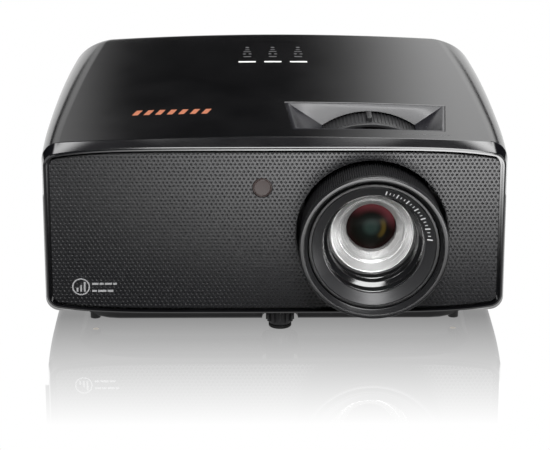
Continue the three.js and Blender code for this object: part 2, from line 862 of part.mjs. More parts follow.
function lightHeatSink() {
  const half = 26;
  const low = [lightLeft, wheelY - half, wheelZ - 40];
  const high = [lightDivide - 2, wheelY + half, wheelZ + 16];
  return heatSink(low, high, 1, 11);
}

function speaker(side) {
  const inner = side * (caseHalfWidth - 46.6);
  const outer = side * (caseHalfWidth - 18.6);
  const y = rearY - 50;
  const half = 20;
  const z = 76;
  const shell = box(
    [Math.min(inner, outer), y - half, z - half],
    [Math.max(inner, outer), y + half, z + half],
  );
  const coneFrom = Math.min(outer - side * 6, outer + side);
  const coneTo = Math.max(outer - side * 6, outer + side);
  return shell.subtract(cylinder('x', 15, coneFrom, coneTo, [0, y, z]));
}

// ---- rear panel, sockets and keys ----

// Sockets along the rear: distance of the centre from the panel's left edge, height, and the hole inside.
const sockets = [
  { name: 'power_inlet', along: 22, z: 62, width: 24, height: 16.5, depth: 17 },
  { name: 'hdmi_socket_1', along: 60, z: 56, width: 15, height: 5.2, depth: socketDepth },
  { name: 'hdmi_socket_2', along: 84, z: 56, width: 15, height: 5.2, depth: socketDepth },
  { name: 'usb_socket', along: 108, z: 56, width: 13.2, height: 5.8, depth: socketDepth },
  { name: 'network_socket', along: 132, z: 58, width: 11.8, height: 8.2, depth: socketDepth },
  { name: 'serial_socket', along: 160, z: 58, width: 17.4, height: 9, depth: 8 },
  { name: 'audio_socket', along: 184, z: 56, width: 3.7, height: 3.7, depth: socketDepth, round: true },
].map((socket) => ({ ...socket, x: socket.along - rearPanelHalfWidth }));

// A block in the rear wall, as wide and high as the socket's hole grown by growth.
function socketBlock({ x, z, width, height, round }, growth, from, to) {
  if (round) return cylinder('y', width / 2 + growth, from, to, [x, 0, z]);
  const halfWidth = width / 2 + growth;
  const halfHeight = height / 2 + growth;
  return box([x - halfWidth, from, z - halfHeight], [x + halfWidth, to, z + halfHeight]);
}

function socketShell(socket) {
  const back = rearY - socketRecess;
  const floor = back - socket.depth;
  return socketBlock(socket, socketWall, floor - 2, back)
    .subtract(socketBlock(socket, 0, floor, back + 1));
}

const keys = [
  { name: 'power_key', x: keyPadX + 2.2 * keySpacing, z: keyPadZ },
  { name: 'up_key', x: keyPadX, z: keyPadZ + keySpacing },
  { name: 'down_key', x: keyPadX, z: keyPadZ - keySpacing },
  { name: 'left_key', x: keyPadX + keySpacing, z: keyPadZ },
  { name: 'right_key', x: keyPadX - keySpacing, z: keyPadZ },
  { name: 'enter_key', x: keyPadX, z: keyPadZ },
];

// A round cap through the panel, with a flange behind it that keeps it in.
function keyCap({ x, z }) {
  const face = rearY - 0.2;
  const flangeBack = face - rearPanelThickness - 1.2;
  return join([
    cylinder('y', keyRadius, flangeBack - 1, face, [x, 0, z]),
    cylinder('y', keyRadius + keyFlange, flangeBack - 1.4, flangeBack, [x, 0, z]),
  ]);
}

function rearPanel() {
  const back = rearY - 1;
  const front = back - rearPanelThickness;
  const vents = [];
  for (let x = -rearPanelHalfWidth + 14; x < keyPadX - 3 * keySpacing; x += slotPitch) {
    vents.push(box([x, front - 1, 80], [x + slotWidth, back + 1, 112]));
  }
  return cut(rearWindow(seam, front, back), [
    ...sockets.map((socket) => socketBlock(socket, socketWall + seam, front - 1, back + 1)),
    ...keys.map(({ x, z }) => cylinder('y', keyRadius + runningGap / 2, front - 1, back + 1, [x, 0, z])),
    ...vents,
  ]);
}

// ---- feet and inserts, built about their own axis ----

// A ribbed knob, narrower at the bottom, with its threaded stud above.
function footKnob() {
  const corners = footRibs * 4;
  const outline = Array.from({ length: corners }, (_, i) => {
    const angle = 2 * Math.PI * i / corners;
    const radius = i % 4 < 2 ? footRadius : footRadius - footRibDepth;
    return [radius * Math.cos(angle), radius * Math.sin(angle)];
  });
  const ring = (z, scale) => outline.map(([x, y]) => new THREE.Vector3(x * scale, y * scale, z));
  const bottom = padHeight + seam;
  return join([
    loft([ring(bottom, 0.82), ring(bottom + 1.8, 0.92), ring(footTop, 1)]),
    cylinder('z', studRadius, footTop - 1, studTop, [0, 0, 0]),
  ]);
}

function footPad() {
  return cylinder('z', footRadius * 0.8, 0, padHeight, [0, 0, 0]);
}

function mountInsert() {
  const bottom = trayFloor - insertBossDrop + 0.3;
  const top = trayFloor - insertBossDrop + insertDepth;
  return cylinder('z', insertRadius, bottom, top, [0, 0, 0])
    .subtract(cylinder('z', insertHole, bottom - 1, top - 1.5, [0, 0, 0]));
}

// ---- build ----

addPart('bottom_tray', bottomTray(), looks.tray);
addPart('top_cover', topCover(), looks.cover);
addPart('side_panel_left', sidePanel(-1), looks.cover);
addPart('side_panel_right', sidePanel(1), looks.cover);
addPart('rear_panel', rearPanel(), looks.tray);
addPart('front_bezel', frontBezel(), looks.gloss);
addPart('front_panel', frontPanel(), looks.panel);
addPart('pocket_liner', pocketLiner(), looks.tray);
addPart('infrared_window', infraredWindow(), looks.window)
  .position.set(windowX, rimY + panelRecess, windowZ);
['left', 'middle', 'right'].forEach((side, index) => {
  const shape = caseBody(0, bezelDepth).intersect(statusLightSlot(index, 0));
  addPart(`status_light_${side}`, shape, looks.light);
});

addPart('lens_shroud', lensShroud(), looks.dark, lens);
addPart('lens_barrel', lensBarrel(), looks.dark, lens);
addPart('focus_ring', focusRing(), looks.dark, lens);
addPart('zoom_ring', zoomRing(), looks.dark, lens);
addPart('scale_ring', scaleRing(), looks.grey, lens);
addPart('baffle_cone', baffleCone(), looks.dark, lens);
addPart('trim_ring', trimRing(), looks.silver, lens);
addPart('front_glass', lensElement(glassRadius, trimBack, 3.5, 3), looks.glass, lens);
const innerGlassFront = trimBack + innerGlassSpace;
addPart('inner_glass', lensElement(innerGlassRadius, innerGlassFront, 2.5, 4), looks.glass, lens);

addPart('lens_mount_plate', lensMountPlate(), looks.aluminium);
addPart('engine_housing', engineHousing(), looks.aluminium);
addPart('chip_board', chipBoard(), looks.board);
addPart('chip_heat_sink', chipHeatSink(), looks.aluminium);
addPart('colour_wheel', colourWheel(), looks.glass);
addPart('wheel_motor', wheelMotor(), looks.steel);
addPart('light_source', lightSource(), looks.steel);
addPart('light_heat_sink', lightHeatSink(), looks.aluminium);
addPart('main_board', mainBoard(), looks.board);
addPart('power_supply', powerSupply(), looks.board);
addPart('speaker_left', speaker(-1), looks.dark);
addPart('speaker_right', speaker(1), looks.dark);

const fans = [
  { name: 'intake_fan', side: -1, x: -caseHalfWidth + 8.6, y: rimY + 84 },
  { name: 'exhaust_fan', side: 1, x: caseHalfWidth - 8.6 - fanDepth, y: rearY - 115 },
];
fans.forEach(({ name, side, x, y }) => {
  const z = (sidePanelBottom + sidePanelTop) / 2 + 2;
  addPart(`${name}_frame`, fanFrame(side, x, y, z), looks.dark);
  addPart(`${name}_rotor`, fanRotor(side, x, y, z), looks.tray);
});

sockets.forEach((socket) => addPart(socket.name, socketShell(socket), looks.steel));
keys.forEach((key) => addPart(key.name, keyCap(key), looks.tray));

feet.forEach(({ name, x, y }) => {
  const foot = new THREE.Group();
  foot.position.set(x, y, 0);
  projector.add(foot);
  addPart(`${name}_pad`, footPad(), looks.rubber, foot);
  addPart(`${name}_knob`, footKnob(), looks.tray, foot);
});

inserts.forEach(({ name, x, y }) => {
  addPart(name, mountInsert(), looks.brass).position.set(x, y, 0);
});

export default projector;
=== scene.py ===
import json
import math

import bmesh
import bpy
from mathutils import Matrix, Vector

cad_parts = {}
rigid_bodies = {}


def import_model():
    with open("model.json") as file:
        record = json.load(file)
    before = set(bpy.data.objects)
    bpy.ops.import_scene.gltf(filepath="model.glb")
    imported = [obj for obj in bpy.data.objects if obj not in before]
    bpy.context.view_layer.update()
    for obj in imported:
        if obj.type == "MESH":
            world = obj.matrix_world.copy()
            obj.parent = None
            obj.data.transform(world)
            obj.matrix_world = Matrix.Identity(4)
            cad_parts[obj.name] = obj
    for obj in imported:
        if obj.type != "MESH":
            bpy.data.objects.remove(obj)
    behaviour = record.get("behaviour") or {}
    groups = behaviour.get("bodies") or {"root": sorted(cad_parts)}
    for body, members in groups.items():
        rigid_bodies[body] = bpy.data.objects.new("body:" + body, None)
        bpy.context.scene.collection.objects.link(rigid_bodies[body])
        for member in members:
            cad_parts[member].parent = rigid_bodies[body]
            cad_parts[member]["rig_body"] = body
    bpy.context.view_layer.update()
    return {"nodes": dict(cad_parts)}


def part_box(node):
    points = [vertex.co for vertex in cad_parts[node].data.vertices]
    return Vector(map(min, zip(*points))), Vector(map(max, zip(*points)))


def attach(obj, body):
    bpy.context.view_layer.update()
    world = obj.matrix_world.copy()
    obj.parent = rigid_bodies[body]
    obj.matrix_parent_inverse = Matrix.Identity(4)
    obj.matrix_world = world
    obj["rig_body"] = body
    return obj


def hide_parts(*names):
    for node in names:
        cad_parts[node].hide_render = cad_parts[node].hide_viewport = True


# Home projector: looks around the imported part. Shapes are worked out in millimetres, the frame is in metres.
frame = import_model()
mm = 0.001
print("frame loaded,", len(frame["nodes"]), "nodes")


# Places taken from the frame, in millimetres

def lowest(node):
    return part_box(node)[0] / mm


def highest(node):
    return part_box(node)[1] / mm


def middle(node):
    return (lowest(node) + highest(node)) / 2


rimY = lowest("front_bezel").y
rearY = highest("top_cover").y
lensX = middle("scale_ring").x
lensZ = middle("scale_ring").z
glassRadius = {"front": 17.4, "inner": 14.0}
feet = {
    "front_foot": middle("front_foot_pad"),
    "rear_left_foot": middle("rear_left_foot_pad"),
    "rear_right_foot": middle("rear_right_foot_pad"),
}


# Sockets as values, for shader and geometry maths

class Value:
    def __init__(self, sheet, socket):
        self.sheet = sheet
        self.socket = socket

    def maths(self, operation, first, second):
        return self.sheet.add("ShaderNodeMath", {"operation": operation}, {0: first, 1: second})

    def __add__(self, other):
        return self.maths("ADD", self, other)

    def __radd__(self, other):
        return self.maths("ADD", other, self)

    def __sub__(self, other):
        return self.maths("SUBTRACT", self, other)

    def __rsub__(self, other):
        return self.maths("SUBTRACT", other, self)

    def __mul__(self, other):
        return self.maths("MULTIPLY", self, other)

    def __truediv__(self, other):
        return self.maths("DIVIDE", self, other)

    def __mod__(self, other):
        return self.maths("MODULO", self, other)

    def power(self, exponent):
        return self.maths("POWER", self, exponent)

    def sharpened(self, low, high):
        # 0 below low, 1 above high, smooth between
        return self.sheet.add(
            "ShaderNodeMapRange", {"interpolation_type": "SMOOTHSTEP"},
            {"Value": self, "From Min": low, "From Max": high, "To Min": 0.0, "To Max": 1.0})


class NodeSheet:
    def __init__(self, tree):
        self.tree = tree
        tree.nodes.clear()

    def add(self, kind, settings=None, sockets=None, output=0):
        node = self.tree.nodes.new(kind)
        for name, value in (settings or {}).items():
            if name == "stops":
                self.fillRamp(node.color_ramp, value)
            else:
                setattr(node, name, value)
        for key, value in (sockets or {}).items():
            if isinstance(value, Value):
                self.tree.links.new(value.socket, node.inputs[key])
            else:
                node.inputs[key].default_value = value
        if len(node.outputs) == 0:
            return None
        return Value(self, node.outputs[output])

    def fillRamp(self, ramp, stops):
        while len(ramp.elements) < len(stops):
            ramp.elements.new(0.5)
        for element, (position, colour) in zip(ramp.elements, stops):
            element.position = position
            element.color = (*colour, 1.0)

    def split(self, vector):
        return [self.add("ShaderNodeSeparateXYZ", {}, {0: vector}, axis) for axis in range(3)]

    def joined(self, x=0.0, y=0.0, z=0.0):
        return self.add("ShaderNodeCombineXYZ", {}, {0: x, 1: y, 2: z})


class Finish(NodeSheet):
    def __init__(self, name):
        self.material = bpy.data.materials.new(name)
        self.material.use_nodes = True
        super().__init__(self.material.node_tree)
        self.place = self.add("ShaderNodeTexCoord", output="Object")

    def noise(self, scale, detail=3.0, roughness=0.5, where=None, seed=0.0):
        settings = {"noise_dimensions": "4D"}
        sockets = {"Vector": where or self.place, "W": seed, "Scale": scale,
                   "Detail": detail, "Roughness": roughness}
        return self.add("ShaderNodeTexNoise", settings, sockets)

    def cells(self, scale):
        return self.add("ShaderNodeTexVoronoi", {"feature": "F1"}, {"Vector": self.place, "Scale": scale})

    def blend(self, factor, first, second):
        settings = {"data_type": "RGBA", "blend_type": "MIX", "clamp_factor": True}
        return self.add("ShaderNodeMix", settings, {0: factor, 6: asColour(first), 7: asColour(second)}, 2)

    def ramp(self, value, stops):
        return self.add("ShaderNodeValToRGB", {"stops": stops}, {0: value})

    def bump(self, height, distance):
        return self.add("ShaderNodeBump", {}, {"Height": height, "Distance": distance * mm, "Strength": 1.0})

    def stretched(self, x, y, z):
        return self.add("ShaderNodeMapping", {}, {"Vector": self.place, "Scale": (x, y, z)})

    def polar(self):
        # radius and angle about the lens axis, and the place along it
        x, y, z = self.split(self.place)
        across = x - lensX * mm
        up = z - lensZ * mm
        radius = (across * across + up * up).power(0.5)
        angle = self.add("ShaderNodeMath", {"operation": "ARCTAN2"}, {0: up, 1: across})
        return radius, angle, y

    def done(self, **sockets):
        named = {key.replace("_", " "): asColour(value) for key, value in sockets.items()}
        shader = self.add("ShaderNodeBsdfPrincipled", {}, named)
        self.add("ShaderNodeOutputMaterial", {}, {"Surface": shader})
        return self.material


def asColour(value):
    if isinstance(value, tuple) and len(value) == 3:
        return (*value, 1.0)
    return value


# Finishes

def mouldedPlastic(name, colour, look):
    finish = Finish(name)
    grain = finish.noise(look["grain"], 2.0, 0.6)
    cloud = finish.noise(22.0, 3.0, 0.55, seed=2.0)
    dust = finish.noise(310.0, 2.0, 0.7, seed=5.0).sharpened(0.66, 0.78)
    lighter = tuple(min(1.0, part * 1.35 + 0.004) for part in colour)
    tint = finish.blend(cloud.sharpened(0.3, 0.75), colour, lighter)
    tint = finish.blend(dust * look.get("dust", 0.10), tint, (0.35, 0.34, 0.33))
    rough = look["rough"] + (cloud - 0.5) * look.get("uneven", 0.10) + dust * 0.10
    normal = finish.bump(grain, look["depth"])
    return finish.done(
        Base_Color=tint, Roughness=rough, Normal=normal, IOR=1.48,
        Specular_IOR_Level=look.get("specular", 0.5),
        Coat_Weight=look.get("coat", 0.0), Coat_Roughness=0.08)


def panelFinish(name):
    # dark satin plastic, darker in the dimples: painted shade in the recesses
    finish = Finish(name)
    grain = finish.noise(1900.0, 2.0, 0.6)
    cloud = finish.noise(16.0, 3.0, 0.5, seed=2.0)
    dust = finish.noise(420.0, 2.0, 0.7, seed=5.0).sharpened(0.68, 0.80)
    y = finish.split(finish.place)[1]
    # painted shade: the dimples' insides turn darker with their depth below the front face
    deep = ((y - (rimY + 1.2) * mm) / (0.35 * mm)).sharpened(0.02, 0.9)
    face = finish.blend(cloud.sharpened(0.3, 0.7), (0.006, 0.006, 0.007), (0.008, 0.008, 0.010))
    tint = finish.blend(dust * 0.04, finish.blend(deep, face, (0.003, 0.003, 0.004)), (0.3, 0.3, 0.3))
    rough = 0.38 + (cloud - 0.5) * 0.06 + deep * 0.25
    return finish.done(Base_Color=tint, Roughness=rough, IOR=1.5, Specular_IOR_Level=0.6,
                       Normal=finish.bump(grain, 0.008))


def turnedFinish(name, colour, look):
    # fine lathe marks around the lens axis
    finish = Finish(name)
    radius, angle, depth = finish.polar()
    rings = finish.joined(radius * look["lines"], depth * look["lines"], angle * 0.6)
    marks = finish.noise(1.0, 3.0, 0.7, where=rings)
    cloud = finish.noise(35.0, 2.0, 0.5, seed=3.0)
    tint = finish.blend(marks.sharpened(0.3, 0.7), tuple(part * look["dark"] for part in colour), colour)
    rough = look["rough"] + (marks - 0.5) * 0.14 + (cloud - 0.5) * 0.08
    return finish.done(
        Base_Color=tint, Metallic=look["metal"], Roughness=rough,
        Normal=finish.bump(marks, look["depth"]), IOR=look.get("ior", 1.5))


def glassWithPaintedReflections(name, look):
    # painted reflections of the lens coatings: coloured rings by radius, a reddish crescent towards the top
    # and an amber arc on one side, all also given out as emission (painted glow)
    finish = Finish(name)
    radius, angle = finish.polar()[:2]
    share = radius / (look["radius"] * mm)
    rings = finish.ramp(share, look["stops"])
    tilt = finish.add("ShaderNodeMath", {"operation": "SINE"}, {0: angle + look["turn"]})
    upper = tilt.sharpened(0.05, 1.0)
    smear = finish.noise(140.0, 3.0, 0.6).sharpened(0.45, 0.8)
    # painted reflection: the rim colour laid as a crescent on the upper side
    tint = finish.blend(upper * share.sharpened(0.55, 0.95), rings, look["rim"])
    side = finish.add("ShaderNodeMath", {"operation": "COSINE"}, {0: angle + look["amberReflectionTurn"]})
    # painted reflection: an amber arc on one side, between the inner and outer rings
    arc = share.sharpened(0.34, 0.52) * (1.0 - share.sharpened(0.55, 0.68)) * side.sharpened(0.55, 0.98)
    tint = finish.blend(arc * look["amberReflectionShare"], tint, look["amberReflection"])
    # the painted reflections also glow as emission, though the glass is no lamp
    return finish.done(
        Base_Color=tint, Roughness=0.24 + smear * 0.08, IOR=1.4, Specular_IOR_Level=0.05,
        Emission_Color=tint, Emission_Strength=look["glow"])


def diffuserFinish(name):
    finish = Finish(name)
    cloud = finish.noise(260.0, 2.0, 0.5)
    tint = finish.blend(cloud, (0.92, 0.92, 0.90), (0.80, 0.81, 0.80))
    return finish.done(Base_Color=tint, Roughness=0.35 + cloud * 0.1, Emission_Color=tint,
                       Emission_Strength=0.55, Normal=finish.bump(cloud, 0.02))


def castMetal(name, colour, rough, scale, depth):
    finish = Finish(name)
    grain = finish.noise(scale, 3.0, 0.6)
    wear = finish.noise(60.0, 2.0, 0.6, seed=4.0)
    tint = finish.blend(wear.sharpened(0.35, 0.75), tuple(part * 0.72 for part in colour), colour)
    return finish.done(Base_Color=tint, Metallic=1.0, Roughness=rough + (grain - 0.5) * 0.2,
                       Normal=finish.bump(grain, depth))


def circuitBoard(name):
    finish = Finish(name)
    tracks = finish.noise(220.0, 0.0, 0.5, where=finish.stretched(1.0, 5.0, 5.0)).sharpened(0.50, 0.53)
    speck = finish.cells(260.0).sharpened(0.0, 0.12)
    tint = finish.blend(tracks, (0.012, 0.055, 0.022), (0.03, 0.13, 0.05))
    tint = finish.blend(1.0 - speck, tint, (0.62, 0.55, 0.36))
    return finish.done(Base_Color=tint, Roughness=0.42 + tracks * 0.1,
                       Normal=finish.bump(tracks, 0.04))


# a printed mark; glow gives it emission, which is painted glow since print is no lamp
def printedMark(name, colour, metal, glow=0.0):
    finish = Finish(name)
    grain = finish.noise(900.0, 2.0, 0.6)
    tint = finish.blend(grain, tuple(part * 0.85 for part in colour), colour)
    return finish.done(Base_Color=tint, Metallic=metal, Roughness=0.36 + grain * 0.12,
                       Normal=finish.bump(grain, 0.01),
                       Emission_Color=tint, Emission_Strength=glow)


finishes = {
    "cover": mouldedPlastic("cover_satin", (0.0022, 0.0022, 0.0027),
                            {"grain": 2600.0, "depth": 0.003, "rough": 0.14, "uneven": 0.03, "dust": 0.015}),
    "gloss": mouldedPlastic("bezel_gloss", (0.004, 0.004, 0.005),
                            {"grain": 900.0, "depth": 0.001, "rough": 0.13, "uneven": 0.05, "dust": 0.02,
                             "coat": 0.6}),
    "panel": panelFinish("panel_plastic"),
    "dark": mouldedPlastic("lens_black", (0.0075, 0.0075, 0.008),
                           {"grain": 1700.0, "depth": 0.008, "rough": 0.42, "dust": 0.05}),
    "tray": mouldedPlastic("tray_plastic", (0.024, 0.024, 0.026),
                           {"grain": 1100.0, "depth": 0.03, "rough": 0.50, "dust": 0.08}),
    "liner": mouldedPlastic("liner_plastic", (0.016, 0.016, 0.019),
                            {"grain": 1500.0, "depth": 0.004, "rough": 0.20, "dust": 0.03,
                             "specular": 0.35}),
    "ring": mouldedPlastic("ring_black", (0.014, 0.014, 0.015),
                           {"grain": 1700.0, "depth": 0.004, "rough": 0.26, "uneven": 0.04, "dust": 0.03}),
    "grip": mouldedPlastic("grip_rubber", (0.016, 0.016, 0.017),
                           {"grain": 1500.0, "depth": 0.01, "rough": 0.40, "dust": 0.05}),
    "grey": turnedFinish("scale_grey", (0.045, 0.045, 0.047),
                         {"lines": 2600.0, "dark": 0.9, "metal": 0.2, "rough": 0.36, "depth": 0.003}),
    "baffle": turnedFinish("baffle_black", (0.012, 0.012, 0.013),
                           {"lines": 1800.0, "dark": 0.8, "metal": 0.0, "rough": 0.12, "depth": 0.001,
                            "ior": 1.9}),
    "silver": turnedFinish("trim_silver", (0.90, 0.90, 0.895),
                           {"lines": 3200.0, "dark": 0.95, "metal": 0.45, "rough": 0.26, "depth": 0.001}),
    "steel": castMetal("pressed_steel", (0.55, 0.56, 0.58), 0.30, 700.0, 0.01),
    "aluminium": castMetal("cast_aluminium", (0.62, 0.63, 0.64), 0.42, 420.0, 0.05),
    "brass": castMetal("insert_brass", (0.72, 0.58, 0.32), 0.34, 800.0, 0.02),
    "rubber": mouldedPlastic("pad_rubber", (0.012, 0.012, 0.012),
                             {"grain": 1400.0, "depth": 0.05, "rough": 0.85, "dust": 0.2}),
    "window": mouldedPlastic("window_filter", (0.036, 0.023, 0.021),
                             {"grain": 300.0, "depth": 0.001, "rough": 0.20, "uneven": 0.02,
                              "dust": 0.02, "specular": 0.22}),
    "gold": castMetal("contact_gold", (0.83, 0.62, 0.26), 0.28, 900.0, 0.01),
    "board": circuitBoard("green_board"),
    "light": diffuserFinish("light_diffuser"),
    "mark": printedMark("mark_grey", (0.52, 0.52, 0.53), 0.0),
    # the copper mark and the white ticks carry a little emission: painted glow
    "copper": printedMark("mark_copper", (0.60, 0.20, 0.10), 0.2, 0.12),
    "legend": printedMark("legend_grey", (0.10, 0.10, 0.105), 0.0),
    "tick": printedMark("tick_white", (0.85, 0.85, 0.86), 0.0, 0.25),
    # glass settings: the ramp stops, rim crescent, amber arc and glow are painted reflections of the coatings,
    # with painted glow
    "frontGlass": glassWithPaintedReflections("glass_front", {
        "radius": glassRadius["front"], "turn": 0.35, "rim": (0.120, 0.030, 0.036), "glow": 0.55,
        "amberReflectionTurn": 0.15,
        "amberReflection": (0.10, 0.066, 0.012), "amberReflectionShare": 0.55,
        "stops": [(0.0, (0.016, 0.030, 0.026)), (0.20, (0.018, 0.030, 0.026)), (0.42, (0.006, 0.008, 0.007)),
                  (0.8, (0.005, 0.004, 0.003)), (1.0, (0.010, 0.004, 0.004))]}),
    "innerGlass": glassWithPaintedReflections("glass_inner", {
        "radius": glassRadius["inner"], "turn": 0.35, "rim": (0.03, 0.012, 0.016), "glow": 0.2,
        "amberReflectionTurn": 0.0,
        "amberReflection": (0.06, 0.045, 0.012), "amberReflectionShare": 0.3,
        "stops": [(0.0, (0.02, 0.05, 0.04)), (0.5, (0.008, 0.012, 0.010)), (1.0, (0.005, 0.005, 0.005))]}),
}
print("finishes ready:", len(finishes))


# Mesh helpers, in millimetres

def meshObject(name, points, faces):
    mesh = bpy.data.meshes.new(name)
    mesh.from_pydata([(x * mm, y * mm, z * mm) for x, y, z in points], [], faces)
    obj = bpy.data.objects.new(name, mesh)
    bpy.context.scene.collection.objects.link(obj)
    return obj


def cleaned(obj, merge=0.0005):
    bm = bmesh.new()
    bm.from_mesh(obj.data)
    bmesh.ops.remove_doubles(bm, verts=bm.verts, dist=merge * mm)
    bmesh.ops.dissolve_degenerate(bm, edges=bm.edges, dist=1e-8)
    bmesh.ops.recalc_face_normals(bm, faces=bm.faces)
    bm.to_mesh(obj.data)
    bm.free()
    return obj


def shaded(obj, degrees=34):
    bm = bmesh.new()
    bm.from_mesh(obj.data)
    limit = math.radians(degrees)
    for face in bm.faces:
        face.smooth = True
    for edge in bm.edges:
        edge.smooth = len(edge.link_faces) == 2 and edge.calc_face_angle(0.0) < limit
    bm.to_mesh(obj.data)
    bm.free()
    return obj


def settled(obj):
    # the modifiers' result as a plain mesh
    depsgraph = bpy.context.evaluated_depsgraph_get()
    mesh = bpy.data.meshes.new_from_object(obj.evaluated_get(depsgraph))
    obj.modifiers.clear()
    obj.data = mesh
    return obj


def carved(obj, cutters, operation="DIFFERENCE"):
    for cutter in cutters:
        modifier = obj.modifiers.new("carve", "BOOLEAN")
        modifier.operation = operation
        modifier.solver = "MANIFOLD"
        modifier.object = cutter
    settled(obj)
    for cutter in cutters:
        bpy.data.objects.remove(cutter)
    return obj


def softened(obj, width, segments=2, degrees=38):
    modifier = obj.modifiers.new("edges", "BEVEL")
    modifier.width = width * mm
    modifier.segments = segments
    modifier.limit_method = "ANGLE"
    modifier.angle_limit = math.radians(degrees)
    modifier.use_clamp_overlap = True
    return settled(obj)


def merged(name, objects):
    bm = bmesh.new()
    for obj in objects:
        bm.from_mesh(obj.data)
        bpy.data.objects.remove(obj)
    mesh = bpy.data.meshes.new(name)
    bm.to_mesh(mesh)
    bm.free()
    whole = bpy.data.objects.new(name, mesh)
    bpy.context.scene.collection.objects.link(whole)
    return whole


def placed(obj, body, slotName, finish, *nodes):
    obj.data.materials.clear()
    obj.data.materials.append(finishes[finish])
    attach(obj, body)
    if nodes:
        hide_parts(*nodes)
    return obj


def loft(name, rings, closed=True):
    count = len(rings[0])
    points = [point for ring in rings for point in ring]
    faces = []
    for row in range(len(rings) - 1):
        for i in range(count):
            here, there, step = row * count, (row + 1) * count, (i + 1) % count
            faces.append((here + i, here + step, there + step, there + i))
    if closed:
        faces.append(tuple(range(count)))
        faces.append(tuple(range((len(rings) - 1) * count, len(rings) * count)))
    return cleaned(meshObject(name, points, faces))


def boxSolid(name, low, high):
    corners = [(low[0], low[1]), (high[0], low[1]), (high[0], high[1]), (low[0], high[1])]
    return loft(name, [[(x, y, z) for x, y in corners] for z in (low[2], high[2])])


def prismAlongY(name, outline, fromY, toY):
    return loft(name, [[(x, y, z) for x, z in outline] for y in (fromY, toY)])


def arc(centreX, centreY, radius, start, end, steps):
    turns = [math.radians(start + (end - start) * i / steps) for i in range(steps + 1)]
    return [(centreX + radius * math.cos(turn), centreY + radius * math.sin(turn)) for turn in turns]


def roundedRectangle(left, right, bottom, top, radius, steps=6):
    return (arc(right - radius, bottom + radius, radius, -90, 0, steps)
            + arc(right - radius, top - radius, radius, 0, 90, steps)
            + arc(left + radius, top - radius, radius, 90, 180, steps)
            + arc(left + radius, bottom + radius, radius, 180, 270, steps))


def cylinderAlongY(name, radius, start, end, centreX=0, centreZ=0, steps=48):
    circle = arc(centreX, centreZ, radius, 0, 360 - 360 / steps, steps - 1)
    return prismAlongY(name, circle, start, end)


def lensCylinder(name, radius, start, end):
    return cylinderAlongY(name, radius, start, end, lensX, lensZ, 160)


def filleted(profile, steps=3):
    # a profile corner given as (radius, along, fillet) is rounded
    rounded = []
    count = len(profile)
    for i, corner in enumerate(profile):
        point = Vector(corner[:2])
        size = corner[2] if len(corner) > 2 else 0
        if size == 0:
            rounded.append(tuple(point))
            continue
        before = (Vector(profile[i - 1][:2]) - point)
        after = (Vector(profile[(i + 1) % count][:2]) - point)
        size = min(size, before.length * 0.45, after.length * 0.45)
        first = point + before.normalized() * size
        last = point + after.normalized() * size
        for step in range(steps + 1):
            share = step / steps
            curve = first * (1 - share) ** 2 + point * 2 * share * (1 - share) + last * share ** 2
            rounded.append(tuple(curve))
    return rounded


def lathed(name, profile, steps=160, axisX=None, axisZ=None, startY=None):
    centreX = lensX if axisX is None else axisX
    centreZ = lensZ if axisZ is None else axisZ
    origin = rimY if startY is None else startY
    outline = filleted(profile)
    rings = []
    for i in range(steps):
        turn = 2 * math.pi * i / steps
        rings.append([(centreX + r * math.cos(turn), origin + along, centreZ + r * math.sin(turn))
                      for r, along in outline])
    rings.append(rings[0])
    obj = loft(name, rings, closed=False)
    return shaded(obj, 30)


# Geometry Nodes: patterns that repeat

def patterned(name, inputs, build, finish):
    tree = bpy.data.node_groups.new(name, "GeometryNodeTree")
    kinds = {int: "NodeSocketInt", float: "NodeSocketFloat", bpy.types.Object: "NodeSocketObject",
             bpy.types.Material: "NodeSocketMaterial", tuple: "NodeSocketVector"}
    inputs = {**inputs, "Finish": finishes[finish]}
    sockets = {}
    for label, value in inputs.items():
        kind = next(kinds[k] for k in kinds if isinstance(value, k))
        sockets[label] = tree.interface.new_socket(label, in_out="INPUT", socket_type=kind)
    tree.interface.new_socket("Geometry", in_out="OUTPUT", socket_type="NodeSocketGeometry")
    sheet = NodeSheet(tree)
    given = {label: sheet.add("NodeGroupInput", output=label) for label in inputs}
    instances = build(sheet, given)
    real = sheet.add("GeometryNodeRealizeInstances", {}, {"Geometry": instances})
    painted = sheet.add("GeometryNodeSetMaterial", {}, {"Geometry": real, "Material": given["Finish"]})
    sheet.add("NodeGroupOutput", {}, {0: painted})
    holder = meshObject(name, [], [])
    modifier = holder.modifiers.new(name, "NODES")
    modifier.node_group = tree
    for label, value in inputs.items():
        modifier[sockets[label].identifier] = value
    settled(holder)
    for value in inputs.values():
        if isinstance(value, bpy.types.Object):
            bpy.data.objects.remove(value)
    return holder


def shapeFrom(sheet, socket):
    settings = {"transform_space": "ORIGINAL"}
    return sheet.add("GeometryNodeObjectInfo", settings, {"Object": socket}, "Geometry")


def ringOfCopies(name, shape, count, radius, finish):
    # copies of a shape around Z, each turned outwards
    def build(sheet, given):
        circle = sheet.add("GeometryNodeMeshCircle", {}, {
            "Vertices": given["Count"], "Radius": given["Radius"]})
        index = sheet.add("GeometryNodeInputIndex")
        turn = index / given["Count"] * (2 * math.pi)
        return sheet.add("GeometryNodeInstanceOnPoints", {}, {
            "Points": circle, "Instance": shapeFrom(sheet, given["Shape"]),
            "Rotation": sheet.joined(z=turn)})
    return patterned(name, {"Shape": shape, "Count": count, "Radius": radius * mm}, build, finish)


def rowOfCopies(name, shape, count, step, finish):
    def build(sheet, given):
        line = sheet.add("GeometryNodeMeshLine", {"mode": "OFFSET"},
                         {"Count": given["Count"], "Offset": given["Step"]})
        return sheet.add("GeometryNodeInstanceOnPoints", {}, {
            "Points": line, "Instance": shapeFrom(sheet, given["Shape"])})
    step = tuple(part * mm for part in step)
    return patterned(name, {"Shape": shape, "Count": count, "Step": step}, build, finish)


